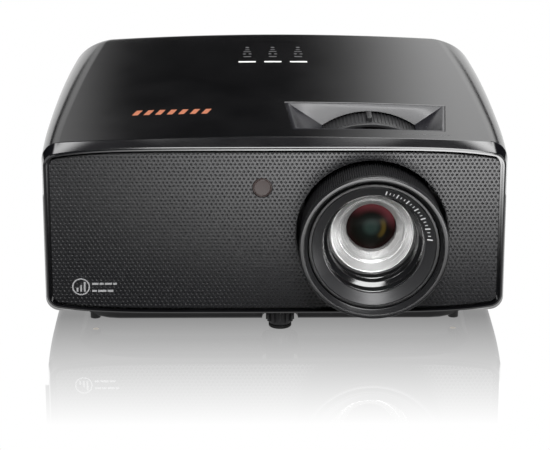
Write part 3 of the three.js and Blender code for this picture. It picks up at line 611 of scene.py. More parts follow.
def staggeredTiles(name, tile, columns, rows, pitch, finish):
    # a hexagonal field of tiles in XY, every other row moved half a pitch, welded together
    def build(sheet, given):
        width = (given["Columns"] - 1) * given["Pitch"]
        height = (given["Rows"] - 1) * given["Pitch"] * math.sqrt(0.75)
        grid = sheet.add("GeometryNodeMeshGrid", {}, {
            "Size X": width, "Size Y": height,
            "Vertices X": given["Columns"], "Vertices Y": given["Rows"]})
        index = sheet.add("GeometryNodeInputIndex")
        odd = (index % given["Rows"]) % 2.0
        moved = sheet.add("GeometryNodeSetPosition", {}, {
            "Geometry": grid, "Offset": sheet.joined(x=odd * given["Pitch"] * 0.5)})
        field = sheet.add("GeometryNodeInstanceOnPoints", {}, {
            "Points": moved, "Instance": shapeFrom(sheet, given["Tile"])})
        real = sheet.add("GeometryNodeRealizeInstances", {}, {"Geometry": field})
        return sheet.add("GeometryNodeMergeByDistance", {}, {"Geometry": real, "Distance": given["Weld"]})
    inputs = {"Tile": tile, "Columns": columns, "Rows": rows, "Pitch": pitch * mm, "Weld": 0.01 * mm}
    return patterned(name, inputs, build, finish)


def moved(obj, matrix):
    obj.data.transform(matrix)
    return obj


def shifted(obj, x, y, z):
    return moved(obj, Matrix.Translation(Vector((x, y, z)) * mm))


def onLensAxis(obj, behind):
    # from an axis along Z to the lens axis, with +Z pointing to the rear
    turn = Matrix.Rotation(math.radians(-90), 4, "X")
    return moved(obj, Matrix.Translation(Vector((lensX, rimY + behind, lensZ)) * mm) @ turn)


# Camera

camera = {
    "place": (-0.0119, -1.6640, 0.6084),
    "looks": (0.0074, 0.9472, -0.3206),
    "focal": 150.5,
}


def makeCamera():
    data = bpy.data.cameras.new("camera")
    data.lens = camera["focal"]
    data.sensor_width = 36.0
    data.clip_start = 0.05
    obj = bpy.data.objects.new("camera", data)
    obj.location = camera["place"]
    obj.rotation_euler = Vector(camera["looks"]).to_track_quat("-Z", "Y").to_euler()
    bpy.context.scene.collection.objects.link(obj)
    bpy.context.scene.camera = obj


makeCamera()


# Case outline, as the frame's cover has it

caseShape = {
    "halfWidth": 166.6, "depth": 265.0, "wall": 2.6, "floor": 17.0,
    "frontTop": 147.0, "rearTop": 159.3, "crown": 3.7,
    "frontShoulder": 13.0, "rearShoulder": 29.6, "lowerCorner": 10.0,
    "frontNarrowing": 2.2, "bulgeReach": 77.0, "rearTaper": 6.8,
    "rearCorner": 15.0, "rearTopEdge": 5.0, "coverFront": 10.5, "split": 25.0,
}


def mixed(first, second, share):
    return first + (second - first) * share


def bowedSide(halfWidth, radius, bow, power, cornerSteps):
    # one bowed side from its right corner to its left one, as points of (x, distance inward)
    steps = 48
    slope = math.atan(power * bow / (halfWidth - radius))
    bowHalf = halfWidth - radius + radius * math.sin(slope)
    centreDepth = bow + radius * math.cos(slope)
    corner = arc(halfWidth - radius, -centreDepth, radius, 0, 90 - math.degrees(slope), cornerSteps)
    right = [(x, -height) for x, height in corner]
    shares = [math.cos(math.pi * i / steps) for i in range(1, steps)]
    across = [(bowHalf * share, bow * abs(share) ** power) for share in shares]
    return right + across + [(-x, depth) for x, depth in reversed(right)]


def crownedOutline(halfWidth, top, bottom, shoulder, corner, crown, belly=0.0, power=2.0):
    upper = bowedSide(halfWidth, shoulder, crown, power, 18)
    lower = bowedSide(halfWidth, corner, belly, power, 10)
    return ([(x, top - drop) for x, drop in upper]
            + [(-x, bottom + rise) for x, rise in lower])


def drawnIn(past, radius):
    if past <= 0:
        return 0.0
    return radius - math.sqrt(max(0.0, radius * radius - past * past))


def caseSize(behind, inset=0.0):
    s = caseShape
    end = s["depth"] - inset
    reach = s["bulgeReach"]
    narrowing = s["frontNarrowing"] * max(0.0, 1 - behind / reach) ** 2
    taper = s["rearTaper"] * max(0.0, (behind - reach / 2) / (s["depth"] - reach / 2)) ** 3
    along = (behind - s["coverFront"]) / (s["depth"] - s["coverFront"])
    topEdge = max(s["rearTopEdge"] - inset, 0.0)
    edgeInset = drawnIn(behind - (end - topEdge), topEdge)
    cornerInset = drawnIn(behind - (end - (s["rearCorner"] - inset)), s["rearCorner"] - inset)
    return {
        "halfWidth": s["halfWidth"] - narrowing - taper - inset - cornerInset,
        "top": mixed(s["frontTop"], s["rearTop"], along) - inset - edgeInset,
        "bottom": s["floor"] + inset + edgeInset,
        "shoulder": mixed(s["frontShoulder"], s["rearShoulder"], along) - inset,
        "corner": s["lowerCorner"] - inset,
        "crown": s["crown"],
    }


def caseRing(behind, inset=0.0):
    return [(x, rimY + behind, z) for x, z in crownedOutline(**caseSize(behind, inset))]


def caseBody(name, inset, start, lip=0.0):
    # lip chamfers the front edge
    end = caseShape["depth"] - inset
    cornerStart = end - (caseShape["rearCorner"] - inset)
    straight = [mixed(start, cornerStart, i / 24) for i in range(24)]
    rounding = [cornerStart + (caseShape["rearCorner"] - inset) * math.sin(math.radians(90 * i / 16))
                for i in range(17)]
    straight[0] += lip
    front = [caseRing(start, inset + lip)] if lip else []
    return loft(name, front + [caseRing(behind, inset) for behind in straight + rounding])


def topHeight(x, behind):
    size = caseSize(behind)
    return size["top"] - size["crown"] * (x / (size["halfWidth"] - size["shoulder"])) ** 2


# Top cover

pocket = {
    "front": 29.0, "rear": 86.0, "half": 58.0,
    "floorFront": 36.0, "floorRear": 75.5, "floorHalf": 24.0,
    "surface": 150.0, "floor": 130.0, "wall": 2.0, "seam": 0.4,
}
sideSlots = {"front": 34.0, "rear": 222.0, "bottom": 38.0, "top": 112.0, "frame": 8.0,
             "width": 3.2, "pitch": 7.4}
zoom = {"radius": 66.4, "front": 58.0, "back": 93.0, "band": 3.4, "inner": 46.6, "ribs": 150,
        "hub": 8.0, "hubWall": 3.0, "web": 2.0,
        "tabWidth": 3.9, "tabHeight": 3.2, "tabStart": 61.0, "tabLength": 17.0}
lights = {"behind": 188.0, "width": 13.4, "length": 3.0, "pitch": 20.0, "seam": 0.4}
rearWindow = {"half": 126.0, "bottom": 36.0, "top": 122.0, "corner": 6.0}


def funnel(name, fromZ, toZ, growth):
    rings = []
    for z in (fromZ, toZ):
        share = (z - pocket["floor"]) / (pocket["surface"] - pocket["floor"])
        half = mixed(pocket["floorHalf"], pocket["half"], share) + growth
        front = rimY + mixed(pocket["floorFront"], pocket["front"], share) - growth
        rear = rimY + mixed(pocket["floorRear"], pocket["rear"], share) + growth
        rings.append([(lensX - half, front, z), (lensX + half, front, z),
                      (lensX + half, rear, z), (lensX - half, rear, z)])
    return loft(name, rings)


def sideBox(name, side, clearance):
    s = sideSlots
    inner, outer = side * 140.0, side * 200.0
    return boxSolid(name, (min(inner, outer), rimY + s["front"] + clearance, s["bottom"] + clearance),
                    (max(inner, outer), rimY + s["rear"] - clearance, s["top"] - clearance))


def makeTopCover():
    cover = caseBody("topCover", 0.0, caseShape["coverFront"], 0.7)
    cutters = [
        caseBody("coverHollow", caseShape["wall"], caseShape["coverFront"] - 1),
        boxSolid("belowSplit", (-400, -400, -100), (400, 400, caseShape["split"])),
        sideBox("leftWindow", -1, 0.0),
        sideBox("rightWindow", 1, 0.0),
        prismAlongY("rearOpening", roundedRectangle(
            -rearWindow["half"], rearWindow["half"], rearWindow["bottom"], rearWindow["top"],
            rearWindow["corner"]), rearY - 8, rearY + 5),
        funnel("recess", pocket["floor"] - 3, pocket["surface"] + 8, pocket["wall"] + pocket["seam"]),
    ]
    for index in (-1, 0, 1):
        x = index * lights["pitch"]
        half = lights["width"] / 2 + lights["seam"]
        deep = lights["length"] / 2 + lights["seam"]
        y = rimY + lights["behind"]
        cutters.append(boxSolid("lightSlot", (x - half, y - deep, 130), (x + half, y + deep, 200)))
    carved(cover, cutters)
    shaded(cleaned(cover), 30)
    return placed(cover, "case", "cover", "cover", "top_cover")


def makePocketLiner():
    skin = funnel("pocketLiner", pocket["floor"] - pocket["wall"], pocket["surface"] + 4, pocket["wall"])
    room = 1.3
    front, back = rimY + zoom["front"] - room, rimY + zoom["back"] + room
    carved(skin, [
        funnel("recessSpace", pocket["floor"], pocket["surface"] + 5, 0.0),
        lensCylinder("ringSpace", zoom["radius"] + room, front, back),
    ])
    trim = caseBody("trim", 0.2, caseShape["coverFront"])
    carved(skin, [trim], "INTERSECT")
    cleaned(skin)
    softened(skin, 0.6, 3, 25)
    shaded(skin, 18)
    return placed(skin, "case", "tray", "liner", "pocket_liner")


def makeSideGrille(side, label):
    s = sideSlots
    panel = caseBody("sideGrille_" + label, 0.0, caseShape["coverFront"])
    window = sideBox("window", side, 0.4)
    carved(panel, [window], "INTERSECT")
    hollow = caseBody("hollow", caseShape["wall"], caseShape["coverFront"] - 1)
    carved(panel, [hollow])
    slotShape = boxSolid("slot", (-30, 0, s["bottom"] + s["frame"]), (30, s["width"], s["top"] - s["frame"]))
    count = math.ceil((s["rear"] - s["front"] - 2 * s["frame"]) / s["pitch"])
    cutters = rowOfCopies("slots", slotShape, count, (0, s["pitch"], 0), "cover")
    shifted(cutters, side * 170, rimY + s["front"] + s["frame"], 0)
    carved(panel, [cleaned(cutters)])
    cleaned(panel)
    softened(panel, 0.35, 2, 50)
    shaded(panel, 34)
    return placed(panel, "case", "cover", "cover", "side_panel_" + label)


# Front bezel and panel

rim = {"halfWidth": 162.7, "top": 141.8, "bottom": 18.2, "shoulder": 9.0, "bow": 4.6, "power": 6.0,
       "face": 1.6, "groove": 1.8, "edge": 1.0, "flange": 7.0, "back": 10.1, "chamfer": 0.7, "lip": 0.4}
panelShape = {"recess": 1.2, "thickness": 3.0, "hole": 55.0, "pitch": 3.1, "dimple": 1.06, "depth": 0.50,
              "chamfer": 0.5}
window = {"x": -8.8, "z": 112.3, "radius": 6.9, "thickness": 4.0}


def rimOutline(grow):
    return crownedOutline(
        halfWidth=rim["halfWidth"] + grow, top=rim["top"] + grow, bottom=rim["bottom"] - grow,
        shoulder=rim["shoulder"] + grow, corner=rim["shoulder"] + grow,
        crown=rim["bow"], belly=rim["bow"], power=rim["power"])


def makeBezel():
    def ring(outline, behind):
        return [(x, rimY + behind, z) for x, z in outline]

    back = caseSize(caseShape["coverFront"])
    middleOutline = [
        (mixed(a[0], b[0], 0.5), mixed(a[1], b[1], 0.5))
        for a, b in zip(rimOutline(0.6), crownedOutline(**back))]
    bezel = loft("frontBezel", [
        ring(rimOutline(-rim["chamfer"]), 0.0),
        ring(rimOutline(0.0), rim["chamfer"]),
        ring(rimOutline(0.6), rim["edge"]),
        ring(middleOutline, mixed(rim["edge"], rim["back"], 0.5)),
        ring(crownedOutline(**back), rim["back"] - rim["lip"]),
        ring(crownedOutline(**{**back, "top": back["top"] - rim["lip"]}), rim["back"]),
    ])
    panelBack = panelShape["recess"] + panelShape["thickness"] + 0.4
    carved(bezel, [
        prismAlongY("panelSeat", rimOutline(-rim["face"]), rimY - 1, rimY + panelBack),
        prismAlongY("opening", rimOutline(-rim["face"] - rim["flange"]), rimY, rimY + 12),
        lensCylinder("shroudSpace", shroud["space"], rimY, rimY + 12),
    ])
    cleaned(bezel)
    shaded(bezel, 12)
    return placed(bezel, "case", "gloss", "gloss", "front_bezel")


def dimpledTile(pitch, radius, depth):
    # a hexagon of the field with a round dimple in it, facing up
    corner = pitch / math.sqrt(3)
    levels = [(corner, 0.0), (radius, 0.0), (radius * 0.62, -depth * 0.75)]
    points, faces = [], []
    for reach, height in levels:
        for k in range(6):
            turn = math.radians(60 * k + 30)
            points.append((reach * math.cos(turn), reach * math.sin(turn), height))
    for level in (0, 1):
        for k in range(6):
            here, there, step = level * 6, (level + 1) * 6, (k + 1) % 6
            faces.append((here + k, here + step, there + step, there + k))
    points.append((0, 0, -depth))
    for k in range(6):
        faces.append((12 + k, 12 + (k + 1) % 6, 18))
    return meshObject("dimpledTile", points, faces)


def makeFrontPanel():
    s = panelShape
    front = rimY + s["recess"]
    columns = 2 * math.ceil(rim["halfWidth"] / s["pitch"]) + 2
    rows = 2 * math.ceil((rim["top"] - rim["bottom"]) / s["pitch"] / math.sqrt(0.75) / 2) + 2
    tile = dimpledTile(s["pitch"], s["dimple"], s["depth"])
    field = staggeredTiles("frontPanel", tile, columns, rows, s["pitch"], "panel")
    centreZ = (rim["top"] + rim["bottom"]) / 2
    turn = Matrix.Rotation(math.radians(90), 4, "X")
    moved(field, Matrix.Translation(Vector((0, front, centreZ)) * mm) @ turn)
    bm = bmesh.new()
    bm.from_mesh(field.data)
    outerEdges = [edge for edge in bm.edges if edge.is_boundary]
    sides = bmesh.ops.extrude_edge_only(bm, edges=outerEdges)["geom"]
    skirt = [part for part in sides if isinstance(part, bmesh.types.BMVert)]
    bmesh.ops.translate(bm, verts=skirt, vec=(0, s["thickness"] * mm, 0))
    bmesh.ops.holes_fill(bm, edges=[edge for edge in bm.edges if edge.is_boundary])
    bmesh.ops.recalc_face_normals(bm, faces=bm.faces)
    bm.to_mesh(field.data)
    bm.free()
    outline = rimOutline(-rim["face"] - rim["groove"])
    edge = rimOutline(-rim["face"] - rim["groove"] - s["chamfer"])
    plate = loft("plate", [
        [(x, front - 0.3, z) for x, z in edge],
        [(x, front, z) for x, z in edge],
        [(x, front + s["chamfer"], z) for x, z in outline],
        [(x, front + s["thickness"] - 0.1, z) for x, z in outline],
    ])
    carved(plate, [
        lensCylinder("lensHole", s["hole"], front - 5, front + 9),
        cylinderAlongY("windowHole", window["radius"] + 0.4, front - 5, front + 9,
                       window["x"], window["z"]),
    ])
    carved(field, [plate], "INTERSECT")
    cleaned(field, 0.002)
    shaded(field, 30)
    return placed(field, "case", "panel", "panel", "front_panel")


def makeWindow():
    start = rimY + panelShape["recess"]
    lens = lathed("infraredWindow", [
        (0.0, 0.12), (window["radius"] - 1.3, 0.0), (window["radius"] - 1.0, 0.25, 0.1),
        (window["radius"] - 0.75, 0.25, 0.1), (window["radius"] - 0.55, 0.0, 0.1),
        (window["radius"], 0.0, 0.35), (window["radius"], window["thickness"]), (0.0, window["thickness"]),
    ], 96, window["x"], window["z"], start)
    return placed(lens, "case", "window", "window", "infrared_window")


# Lens

shroud = {"inner": 54.0, "outer": 55.8, "front": 4.6, "back": 31.0, "space": 56.2}


def makeShroud():
    s = shroud
    tube = lathed("lensShroud", [
        (s["inner"], s["front"], 0.3), (s["outer"], s["front"], 0.3),
        (s["outer"], s["back"]), (s["inner"], s["back"])])
    return placed(tube, "case", "dark", "dark", "lens_shroud")


focus = {"rim": 52.6, "grip": 50.2, "front": -30.0, "back": 16.0, "inner": 46.6, "ribs": 192}


def ribShape(halfWidth, height, length):
    # a low rib along Z that stands out along X, with a rounded crest and sloped ends
    section = [(0.0, -halfWidth), (height * 0.8, -halfWidth * 0.62), (height, 0.0),
               (height * 0.8, halfWidth * 0.62), (0.0, halfWidth)]
    points = [(x, y, height if x > 0 else 0.0) for x, y in section]
    points += [(x, y, length - (height if x > 0 else 0.0)) for x, y in section]
    faces = [(i, i + 1, i + 6, i + 5) for i in range(4)]
    faces += [(4, 0, 5, 9), (4, 3, 2, 1, 0), (5, 6, 7, 8, 9)]
    return points, faces


def makeFocusRing():
    s = focus
    ring = lathed("focusRing", [
        (49.5, s["front"] + 0.1, 0.25), (51.9, s["front"], 0.5), (s["rim"], s["front"] + 0.7, 0.4),
        (s["rim"], s["front"] + 4.8, 0.4), (51.2, s["front"] + 6.2, 0.3), (s["grip"], s["front"] + 6.6, 0.2),
        (s["grip"], s["back"] - 0.6, 0.3), (s["grip"] - 0.6, s["back"]), (s["inner"], s["back"]),
        (s["inner"], -25.6, 0.3), (47.2, -26.2, 0.2), (48.9, -28.8, 0.3),
    ], 192)
    placed(ring, "focus_ring", "dark", "ring", "focus_ring")
    length = s["back"] - s["front"] - 9.5
    rib = meshObject("rib", *ribShape(0.42, 0.60, length))
    ribs = ringOfCopies("focusGrip", rib, s["ribs"], s["grip"] - 0.05, "grip")
    onLensAxis(cleaned(ribs), s["front"] + 7.6)
    shaded(ribs, 40)
    return placed(ribs, "focus_ring", "dark", "grip")


def makeZoomRing():
    s = zoom
    outer, crest = s["radius"] - 0.7, s["radius"]
    band = s["radius"] - s["band"]
    hub = s["inner"] + s["hubWall"]
    middleBack = (s["front"] + s["back"]) / 2
    ring = lathed("zoomRing", [
        (s["inner"], middleBack - s["hub"]), (hub, middleBack - s["hub"]), (hub, middleBack - s["web"]),
        (band, middleBack - s["web"], 0.5), (band, s["front"], 0.4), (outer - 0.7, s["front"], 0.4),
        (outer, s["front"] + 0.7, 0.3), (outer, s["back"] - 0.7, 0.3), (outer - 0.7, s["back"], 0.4),
        (band, s["back"], 0.4), (band, middleBack + s["web"], 0.5),
        (s["inner"], middleBack + s["web"])], 192)
    placed(ring, "zoom_ring", "dark", "grip", "zoom_ring")
    rib = meshObject("rib", *ribShape(0.85, crest - outer, s["back"] - s["front"] - 4.0))
    ribs = ringOfCopies("zoomGrip", rib, s["ribs"], outer - 0.05, "grip")
    onLensAxis(cleaned(ribs), s["front"] + 2.0)
    shaded(ribs, 40)
    placed(ribs, "zoom_ring", "dark", "grip")
    start = rimY + s["tabStart"]
    half = s["tabWidth"] / 2
    tab = boxSolid("zoomTab", (lensX - half, start, lensZ + crest - 1.4),
                   (lensX + half, start + s["tabLength"], lensZ + crest + s["tabHeight"]))
    softened(tab, 0.6, 3)
    shaded(tab, 40)
    return placed(tab, "zoom_ring", "dark", "grip")


scale = {"outer": 43.4, "inner": 36.3, "front": -26.0, "back": -21.0, "wall": 2.0}


def makeInnerLens():
    s = scale
    ring = lathed("scaleRing", [
        (s["outer"], s["front"], 0.25), (s["outer"], s["front"] + s["wall"]),
        (s["inner"], s["back"] + s["wall"]), (s["inner"], s["back"], 0.25)])
    placed(ring, "case", "grey", "grey", "scale_ring")
    baffle = lathed("baffleCone", [
        (36.2, -18.4, 0.2), (35.8, -18.0, 0.2), (35.0, -12.6, 0.15), (32.2, -10.2, 0.15), (31.9, -9.6, 0.2),
        (31.3, -5.0, 0.2), (30.7, -4.6, 0.2), (29.3, 2.5, 0.2), (31.3, 2.5), (38.3, -18.6)])
    placed(baffle, "case", "dark", "baffle", "baffle_cone")
    trim = lathed("trimRing", [
        (31.3, 2.9), (28.9, 2.9, 0.2), (28.5, 3.3, 0.15), (24.3, 8.9, 0.2), (23.9, 8.9, 0.15),
        (23.5, 9.5, 0.2), (22.7, 9.9, 0.2), (22.2, 10.5, 0.15), (21.7, 11.0, 0.15), (18.7, 14.6, 0.3),
        (18.1, 15.3, 0.15), (18.0, 16.4), (18.0, 25.0), (20.4, 25.0), (31.3, 10.9)])
    placed(trim, "case", "silver", "silver", "trim_ring")
    radius = glassRadius["front"]
    dome = [(radius * i / 14, 17.0 + 3.5 * (i / 14) ** 2) for i in range(15)]
    front = lathed("frontGlass", dome + [(radius, 23.5), (0.0, 23.5)])
    placed(front, "case", "glass", "frontGlass", "front_glass")
    radius = glassRadius["inner"]
    dome = [(radius * i / 12, 31.0 + 2.5 * (i / 12) ** 2) for i in range(13)]
    inner = lathed("innerGlass", dome + [(radius, 37.5), (0.0, 37.5)])
    return placed(inner, "case", "glass", "innerGlass", "inner_glass")


makeTopCover()
makePocketLiner()
makeSideGrille(-1, "left")
makeSideGrille(1, "right")
print("cover made")
makeBezel()
makeFrontPanel()
makeWindow()
print("front made")
makeShroud()
makeFocusRing()
makeZoomRing()
makeInnerLens()
print("lens made")


# Printed marks: plain bars, dots and ticks

def onCover(x, behind, lift):
    return (x, rimY + behind, topHeight(x, behind) + lift)


def onPanel(x, z, lift):
    return (x, rimY + panelShape["recess"] - lift, z)


def onScale(degrees, share, lift):
    turn = math.radians(degrees)
    radius = mixed(scale["outer"], scale["inner"], share)
    along = mixed(scale["front"], scale["back"], share)
    return (lensX + radius * math.cos(turn), rimY + along - lift, lensZ + radius * math.sin(turn))


def printed(name, outlines, surface, finish, slotName, body="case"):
    # each outline as a thin plate that follows its surface
    sunk, proud = -0.06, 0.05
    points, faces = [], []
    for outline in outlines:
        start, count = len(points), len(outline)
        points += [surface(a, b, sunk) for a, b in outline]
        points += [surface(a, b, proud) for a, b in outline]
        faces.append(tuple(range(start, start + count)))
        faces.append(tuple(range(start + count, start + 2 * count)))
        for i in range(count):
            step = (i + 1) % count
            faces.append((start + i, start + step, start + count + step, start + count + i))
    return placed(cleaned(meshObject(name, points, faces)), body, slotName, finish)


def bar(a, b, width, height, slant=0.0):
    return [(a - width / 2 - slant / 2, b - height / 2), (a + width / 2 - slant / 2, b - height / 2),
            (a + width / 2 + slant / 2, b + height / 2), (a - width / 2 + slant / 2, b + height / 2)]


def dot(a, b, radius):
    return arc(a, b, radius, 0, 337.5, 15)


def ringOfBars(a, b, outer, inner):
    steps = 32
    outside, inside = arc(a, b, outer, 0, 360, steps), arc(a, b, inner, 0, 360, steps)
    return [[outside[i], outside[i + 1], inside[i + 1], inside[i]] for i in range(steps)]


def makeMarks():
    emblem = {"x": -74.5, "behind": 68.7, "pitch": 8.4, "width": 4.2, "height": 10.5, "slant": 3.2}
    bars = [bar(emblem["x"] + emblem["pitch"] * i, emblem["behind"], emblem["width"],
                emblem["height"], emblem["slant"]) for i in range(-3, 4)]
    printed("coverEmblem", bars, onCover, "copper", "cover")
    legends = []
    for index in (-1, 0, 1):
        x = index * lights["pitch"]
        legends += [bar(x, 201, 6.0, 2.2), dot(x - 2.2, 208, 1.3), dot(x + 2.2, 208, 1.3),
                    bar(x, 214, 6.0, 1.6), bar(x, 219, 3.6, 1.6), dot(x, 225, 1.6)]
    printed("lightLegends", legends, onCover, "legend", "cover")
    row = 20.0
    zoomLegend = [bar(97, row, 13, 0.7), dot(106.5, row, 1.1), bar(112.5, row, 6.0, 0.7),
                  [(117.6, row - 1.3), (120.6, row - 1.3), (119.1, row + 1.5)], bar(123.6, row, 4.0, 0.7)]
    printed("zoomLegend", zoomLegend, onCover, "legend", "cover")
    badge = {"x": -138.8, "z": 38.2, "radius": 6.4, "line": 0.9}
    shapes = ringOfBars(badge["x"], badge["z"], badge["radius"], badge["radius"] - badge["line"])
    for i, height in enumerate((3.0, 5.2, 7.4)):
        shapes.append(bar(badge["x"] - 2.6 + 2.6 * i, badge["z"] - 3.7 + height / 2, 1.3, height))
    for level, widths in ((40.4, (4.6, 3.0, 5.2, 2.6)), (35.0, (3.4, 6.0, 4.2))):
        x = -130.9
        for width in widths:
            shapes.append(bar(x + width / 2, level, width, 1.5))
            x += width + 0.8
    printed("frontBadge", shapes, onPanel, "mark", "panel")
    ticks = []
    for k in range(19):
        degrees = 78 - 4 * k
        longTick = k % 3 == 0
        reach, thick = (0.26, 0.7) if longTick else (0.14, 0.45)
        ticks.append([(degrees - thick, 0.55 - reach), (degrees + thick, 0.55 - reach),
                      (degrees + thick, 0.55 + reach), (degrees - thick, 0.55 + reach)])
    return printed("scaleTicks", ticks, onScale, "tick", "grey")


makeMarks()
print("marks made")


# Sockets, keys and screws on the rear

def onRear(depth):
    def surface(x, z, lift):
        return (x, depth + lift, z)
    return surface


def makeSocketInsides():
    start, end = rearY - 12.5, rearY - 4.5
    tongues = []
    for node, halfWidth, low, high in (
            ("hdmi_socket_1", 5.4, -0.9, 0.5), ("hdmi_socket_2", 5.4, -0.9, 0.5),
            ("usb_socket", 5.2, 0.3, 1.9)):
        x, z = middle(node).x, middle(node).z
        tongues.append(boxSolid("tongue", (x - halfWidth, start, z + low), (x + halfWidth, end, z + high)))
    inside = softened(merged("socketTongues", tongues), 0.25, 2)
    placed(shaded(inside, 34), "case", "dark", "dark")

    x, z = middle("network_socket").x, middle("network_socket").z
    network = {"count": 8, "pitch": 1.05, "width": 7.4, "up": 2.4}
    pin = boxSolid("pin", (-0.22, start, 0.0), (0.22, end + 1.0, 0.5))
    pins = rowOfCopies("networkPins", pin, network["count"], (network["pitch"], 0, 0), "gold")
    shifted(pins, x - network["width"] / 2, 0, z + network["up"])
    placed(shaded(cleaned(pins), 34), "case", "steel", "gold")

    x, z = middle("serial_socket").x, middle("serial_socket").z
    serial = {"pin": 0.5, "pitch": 2.77}
    rows = []
    for count, height in ((5, 1.4), (4, -1.4)):
        pin = softened(cylinderAlongY("pin", serial["pin"], start, end + 1.5, steps=16), 0.2, 2)
        row = rowOfCopies("serialPins", pin, count, (serial["pitch"], 0, 0), "gold")
        rows.append(shifted(row, x - serial["pitch"] * (count - 1) / 2, 0, z + height))
    placed(shaded(cleaned(merged("serialPins", rows)), 34), "case", "steel", "gold")

    x, z = middle("power_inlet").x, middle("power_inlet").z
    blades = [boxSolid("blade", (x + dx - 1.0, start, z + dz - 2.2), (x + dx + 1.0, end + 0.5, z + dz + 2.2))
              for dx, dz in ((-6.8, -1.5), (6.8, -1.5), (0.0, 2.0))]
    blades = softened(merged("inletBlades", blades), 0.35, 2)
    return placed(shaded(blades, 34), "case", "steel", "steel")


def makeKeySymbols():
    def triangle(turn):
        return arc(0, 0, 1.6, turn, turn + 240, 2)

    shapes = {
        "power_key": ringOfBars(0, 0, 1.7, 1.25) + [bar(0, 1.3, 0.5, 1.6)],
        "up_key": [triangle(90)], "down_key": [triangle(270)],
        "left_key": [triangle(180)], "right_key": [triangle(0)],
        "enter_key": ringOfBars(0, 0, 1.5, 1.0),
    }
    for key, outlines in shapes.items():
        place = middle(key)
        centred = [[(x + place.x, z + place.z) for x, z in outline] for outline in outlines]
        printed("symbol_" + key, centred, onRear(highest(key).y - 0.02), "mark", "tray", key)


def makeScrews():
    face = highest("rear_panel").y
    radius, sunk, proud = 2.6, 0.8, 0.35
    head = cylinderAlongY("screwHead", radius, face - sunk, min(face + proud, rearY - 0.05), steps=32)
    softened(head, 0.3, 2)
    slot = [boxSolid("slot", (-1.5, face - 0.4, -0.3), (1.5, face + 2, 0.3)),
            boxSolid("slot", (-0.3, face - 0.4, -1.5), (0.3, face + 2, 1.5))]
    carved(head, slot)
    other = head.copy()
    other.data = head.data.copy()
    bpy.context.scene.collection.objects.link(other)
    step, inset = 59.0, 5.5
    rows = []
    for shape, height in ((head, rearWindow["bottom"] + inset), (other, rearWindow["top"] - inset)):
        row = rowOfCopies("panelScrews", shape, 5, (step, 0, 0), "steel")
        rows.append(shifted(row, -2 * step, 0, height))
    screws = merged("panelScrews", rows)
    return placed(shaded(cleaned(screws), 34), "case", "steel", "steel")


def makeRearLegends():
    face = highest("rear_panel").y - 0.02
    outlines = []
    for node in ("power_inlet", "hdmi_socket_1", "hdmi_socket_2", "usb_socket", "network_socket",
                 "serial_socket", "audio_socket"):
        place, top = middle(node), highest(node).z
        outlines += [bar(place.x - 1.5, top + 4.0, 5.0, 1.0), dot(place.x + 3.0, top + 4.0, 0.7)]
    return printed("rearLegends", outlines, onRear(face), "mark", "tray")


makeSocketInsides()
makeKeySymbols()
makeScrews()
makeRearLegends()
print("rear made")


# Feet

def lathedUp(name, profile, place, steps=72):
    outline = filleted(profile)
    rings = []
    for i in range(steps + 1):
        turn = 2 * math.pi * (i % steps) / steps
        rings.append([(place.x + r * math.cos(turn), place.y + r * math.sin(turn), z) for r, z in outline])
    return shaded(loft(name, rings, closed=False), 30)


def makeFoot(name, place):
    knob, pad = lowest(name + "_knob").z, highest(name + "_pad").z
    knobTop = 15.6
    body = lathedUp(name + "Knob", [
        (0.0, knob), (7.9, knob, 0.3), (8.6, knob + 1.8, 0.3), (9.3, knobTop, 0.5), (4.0, knobTop, 0.3),
        (4.0, highest(name + "_knob").z, 0.4), (0.0, highest(name + "_knob").z)], place)
    placed(body, name + "_knob", "tray", "tray", name + "_knob")
    rib = softened(boxSolid("rib", (-0.3, -1.1, knob + 2.2), (1.2, 1.1, knobTop - 0.6)), 0.35, 2)
    ribs = ringOfCopies(name + "Grip", rib, 12, 9.1, "tray")
    shifted(cleaned(ribs), place.x, place.y, 0)
    placed(shaded(ribs, 40), name + "_knob", "tray", "tray")
    sole = lathedUp(name + "Pad", [
        (0.0, 0.3), (2.2, 0.3, 0.1), (2.5, 0.0, 0.1), (3.6, 0.0, 0.1), (3.9, 0.3, 0.1), (5.0, 0.3, 0.1),
        (5.3, 0.0, 0.1), (7.8, 0.0, 0.3), (8.3, 0.6, 0.2), (8.3, pad, 0.2), (0.0, pad)], place)
    return placed(sole, name + "_pad", "rubber", "rubber", name + "_pad")


for footName, footPlace in feet.items():
    makeFoot(footName, footPlace)
print("feet made")


# The other pieces: the frame's own shapes with their edges rounded

otherPieces = {
    "bottom_tray": ("tray", "tray", 0.5), "rear_panel": ("tray", "tray", 0.35),
    "status_light_left": ("light", "light", 0.25), "status_light_middle": ("light", "light", 0.25),
    "status_light_right": ("light", "light", 0.25), "lens_barrel": ("dark", "dark", 0.4),
    "lens_mount_plate": ("aluminium", "aluminium", 0.5), "engine_housing": ("aluminium", "aluminium", 1.0),
    "chip_board": ("board", "board", 0.15), "chip_heat_sink": ("aluminium", "aluminium", 0.25),
    "colour_wheel": ("glass", "steel", 0.2), "wheel_motor": ("steel", "steel", 0.5),
    "light_source": ("steel", "steel", 0.5), "light_heat_sink": ("aluminium", "aluminium", 0.25),
    "main_board": ("board", "board", 0.15), "power_supply": ("board", "board", 0.2),
    "speaker_left": ("dark", "dark", 0.5), "speaker_right": ("dark", "dark", 0.5),
    "intake_fan_frame": ("dark", "dark", 0.4), "exhaust_fan_frame": ("dark", "dark", 0.4),
    "intake_fan_rotor": ("tray", "tray", 0.15), "exhaust_fan_rotor": ("tray", "tray", 0.15),
    "power_inlet": ("dark", "dark", 0.25), "audio_socket": ("dark", "dark", 0.15),
}
for socket in ("hdmi_socket_1", "hdmi_socket_2", "usb_socket", "network_socket", "serial_socket"):
    otherPieces[socket] = ("steel", "steel", 0.2)
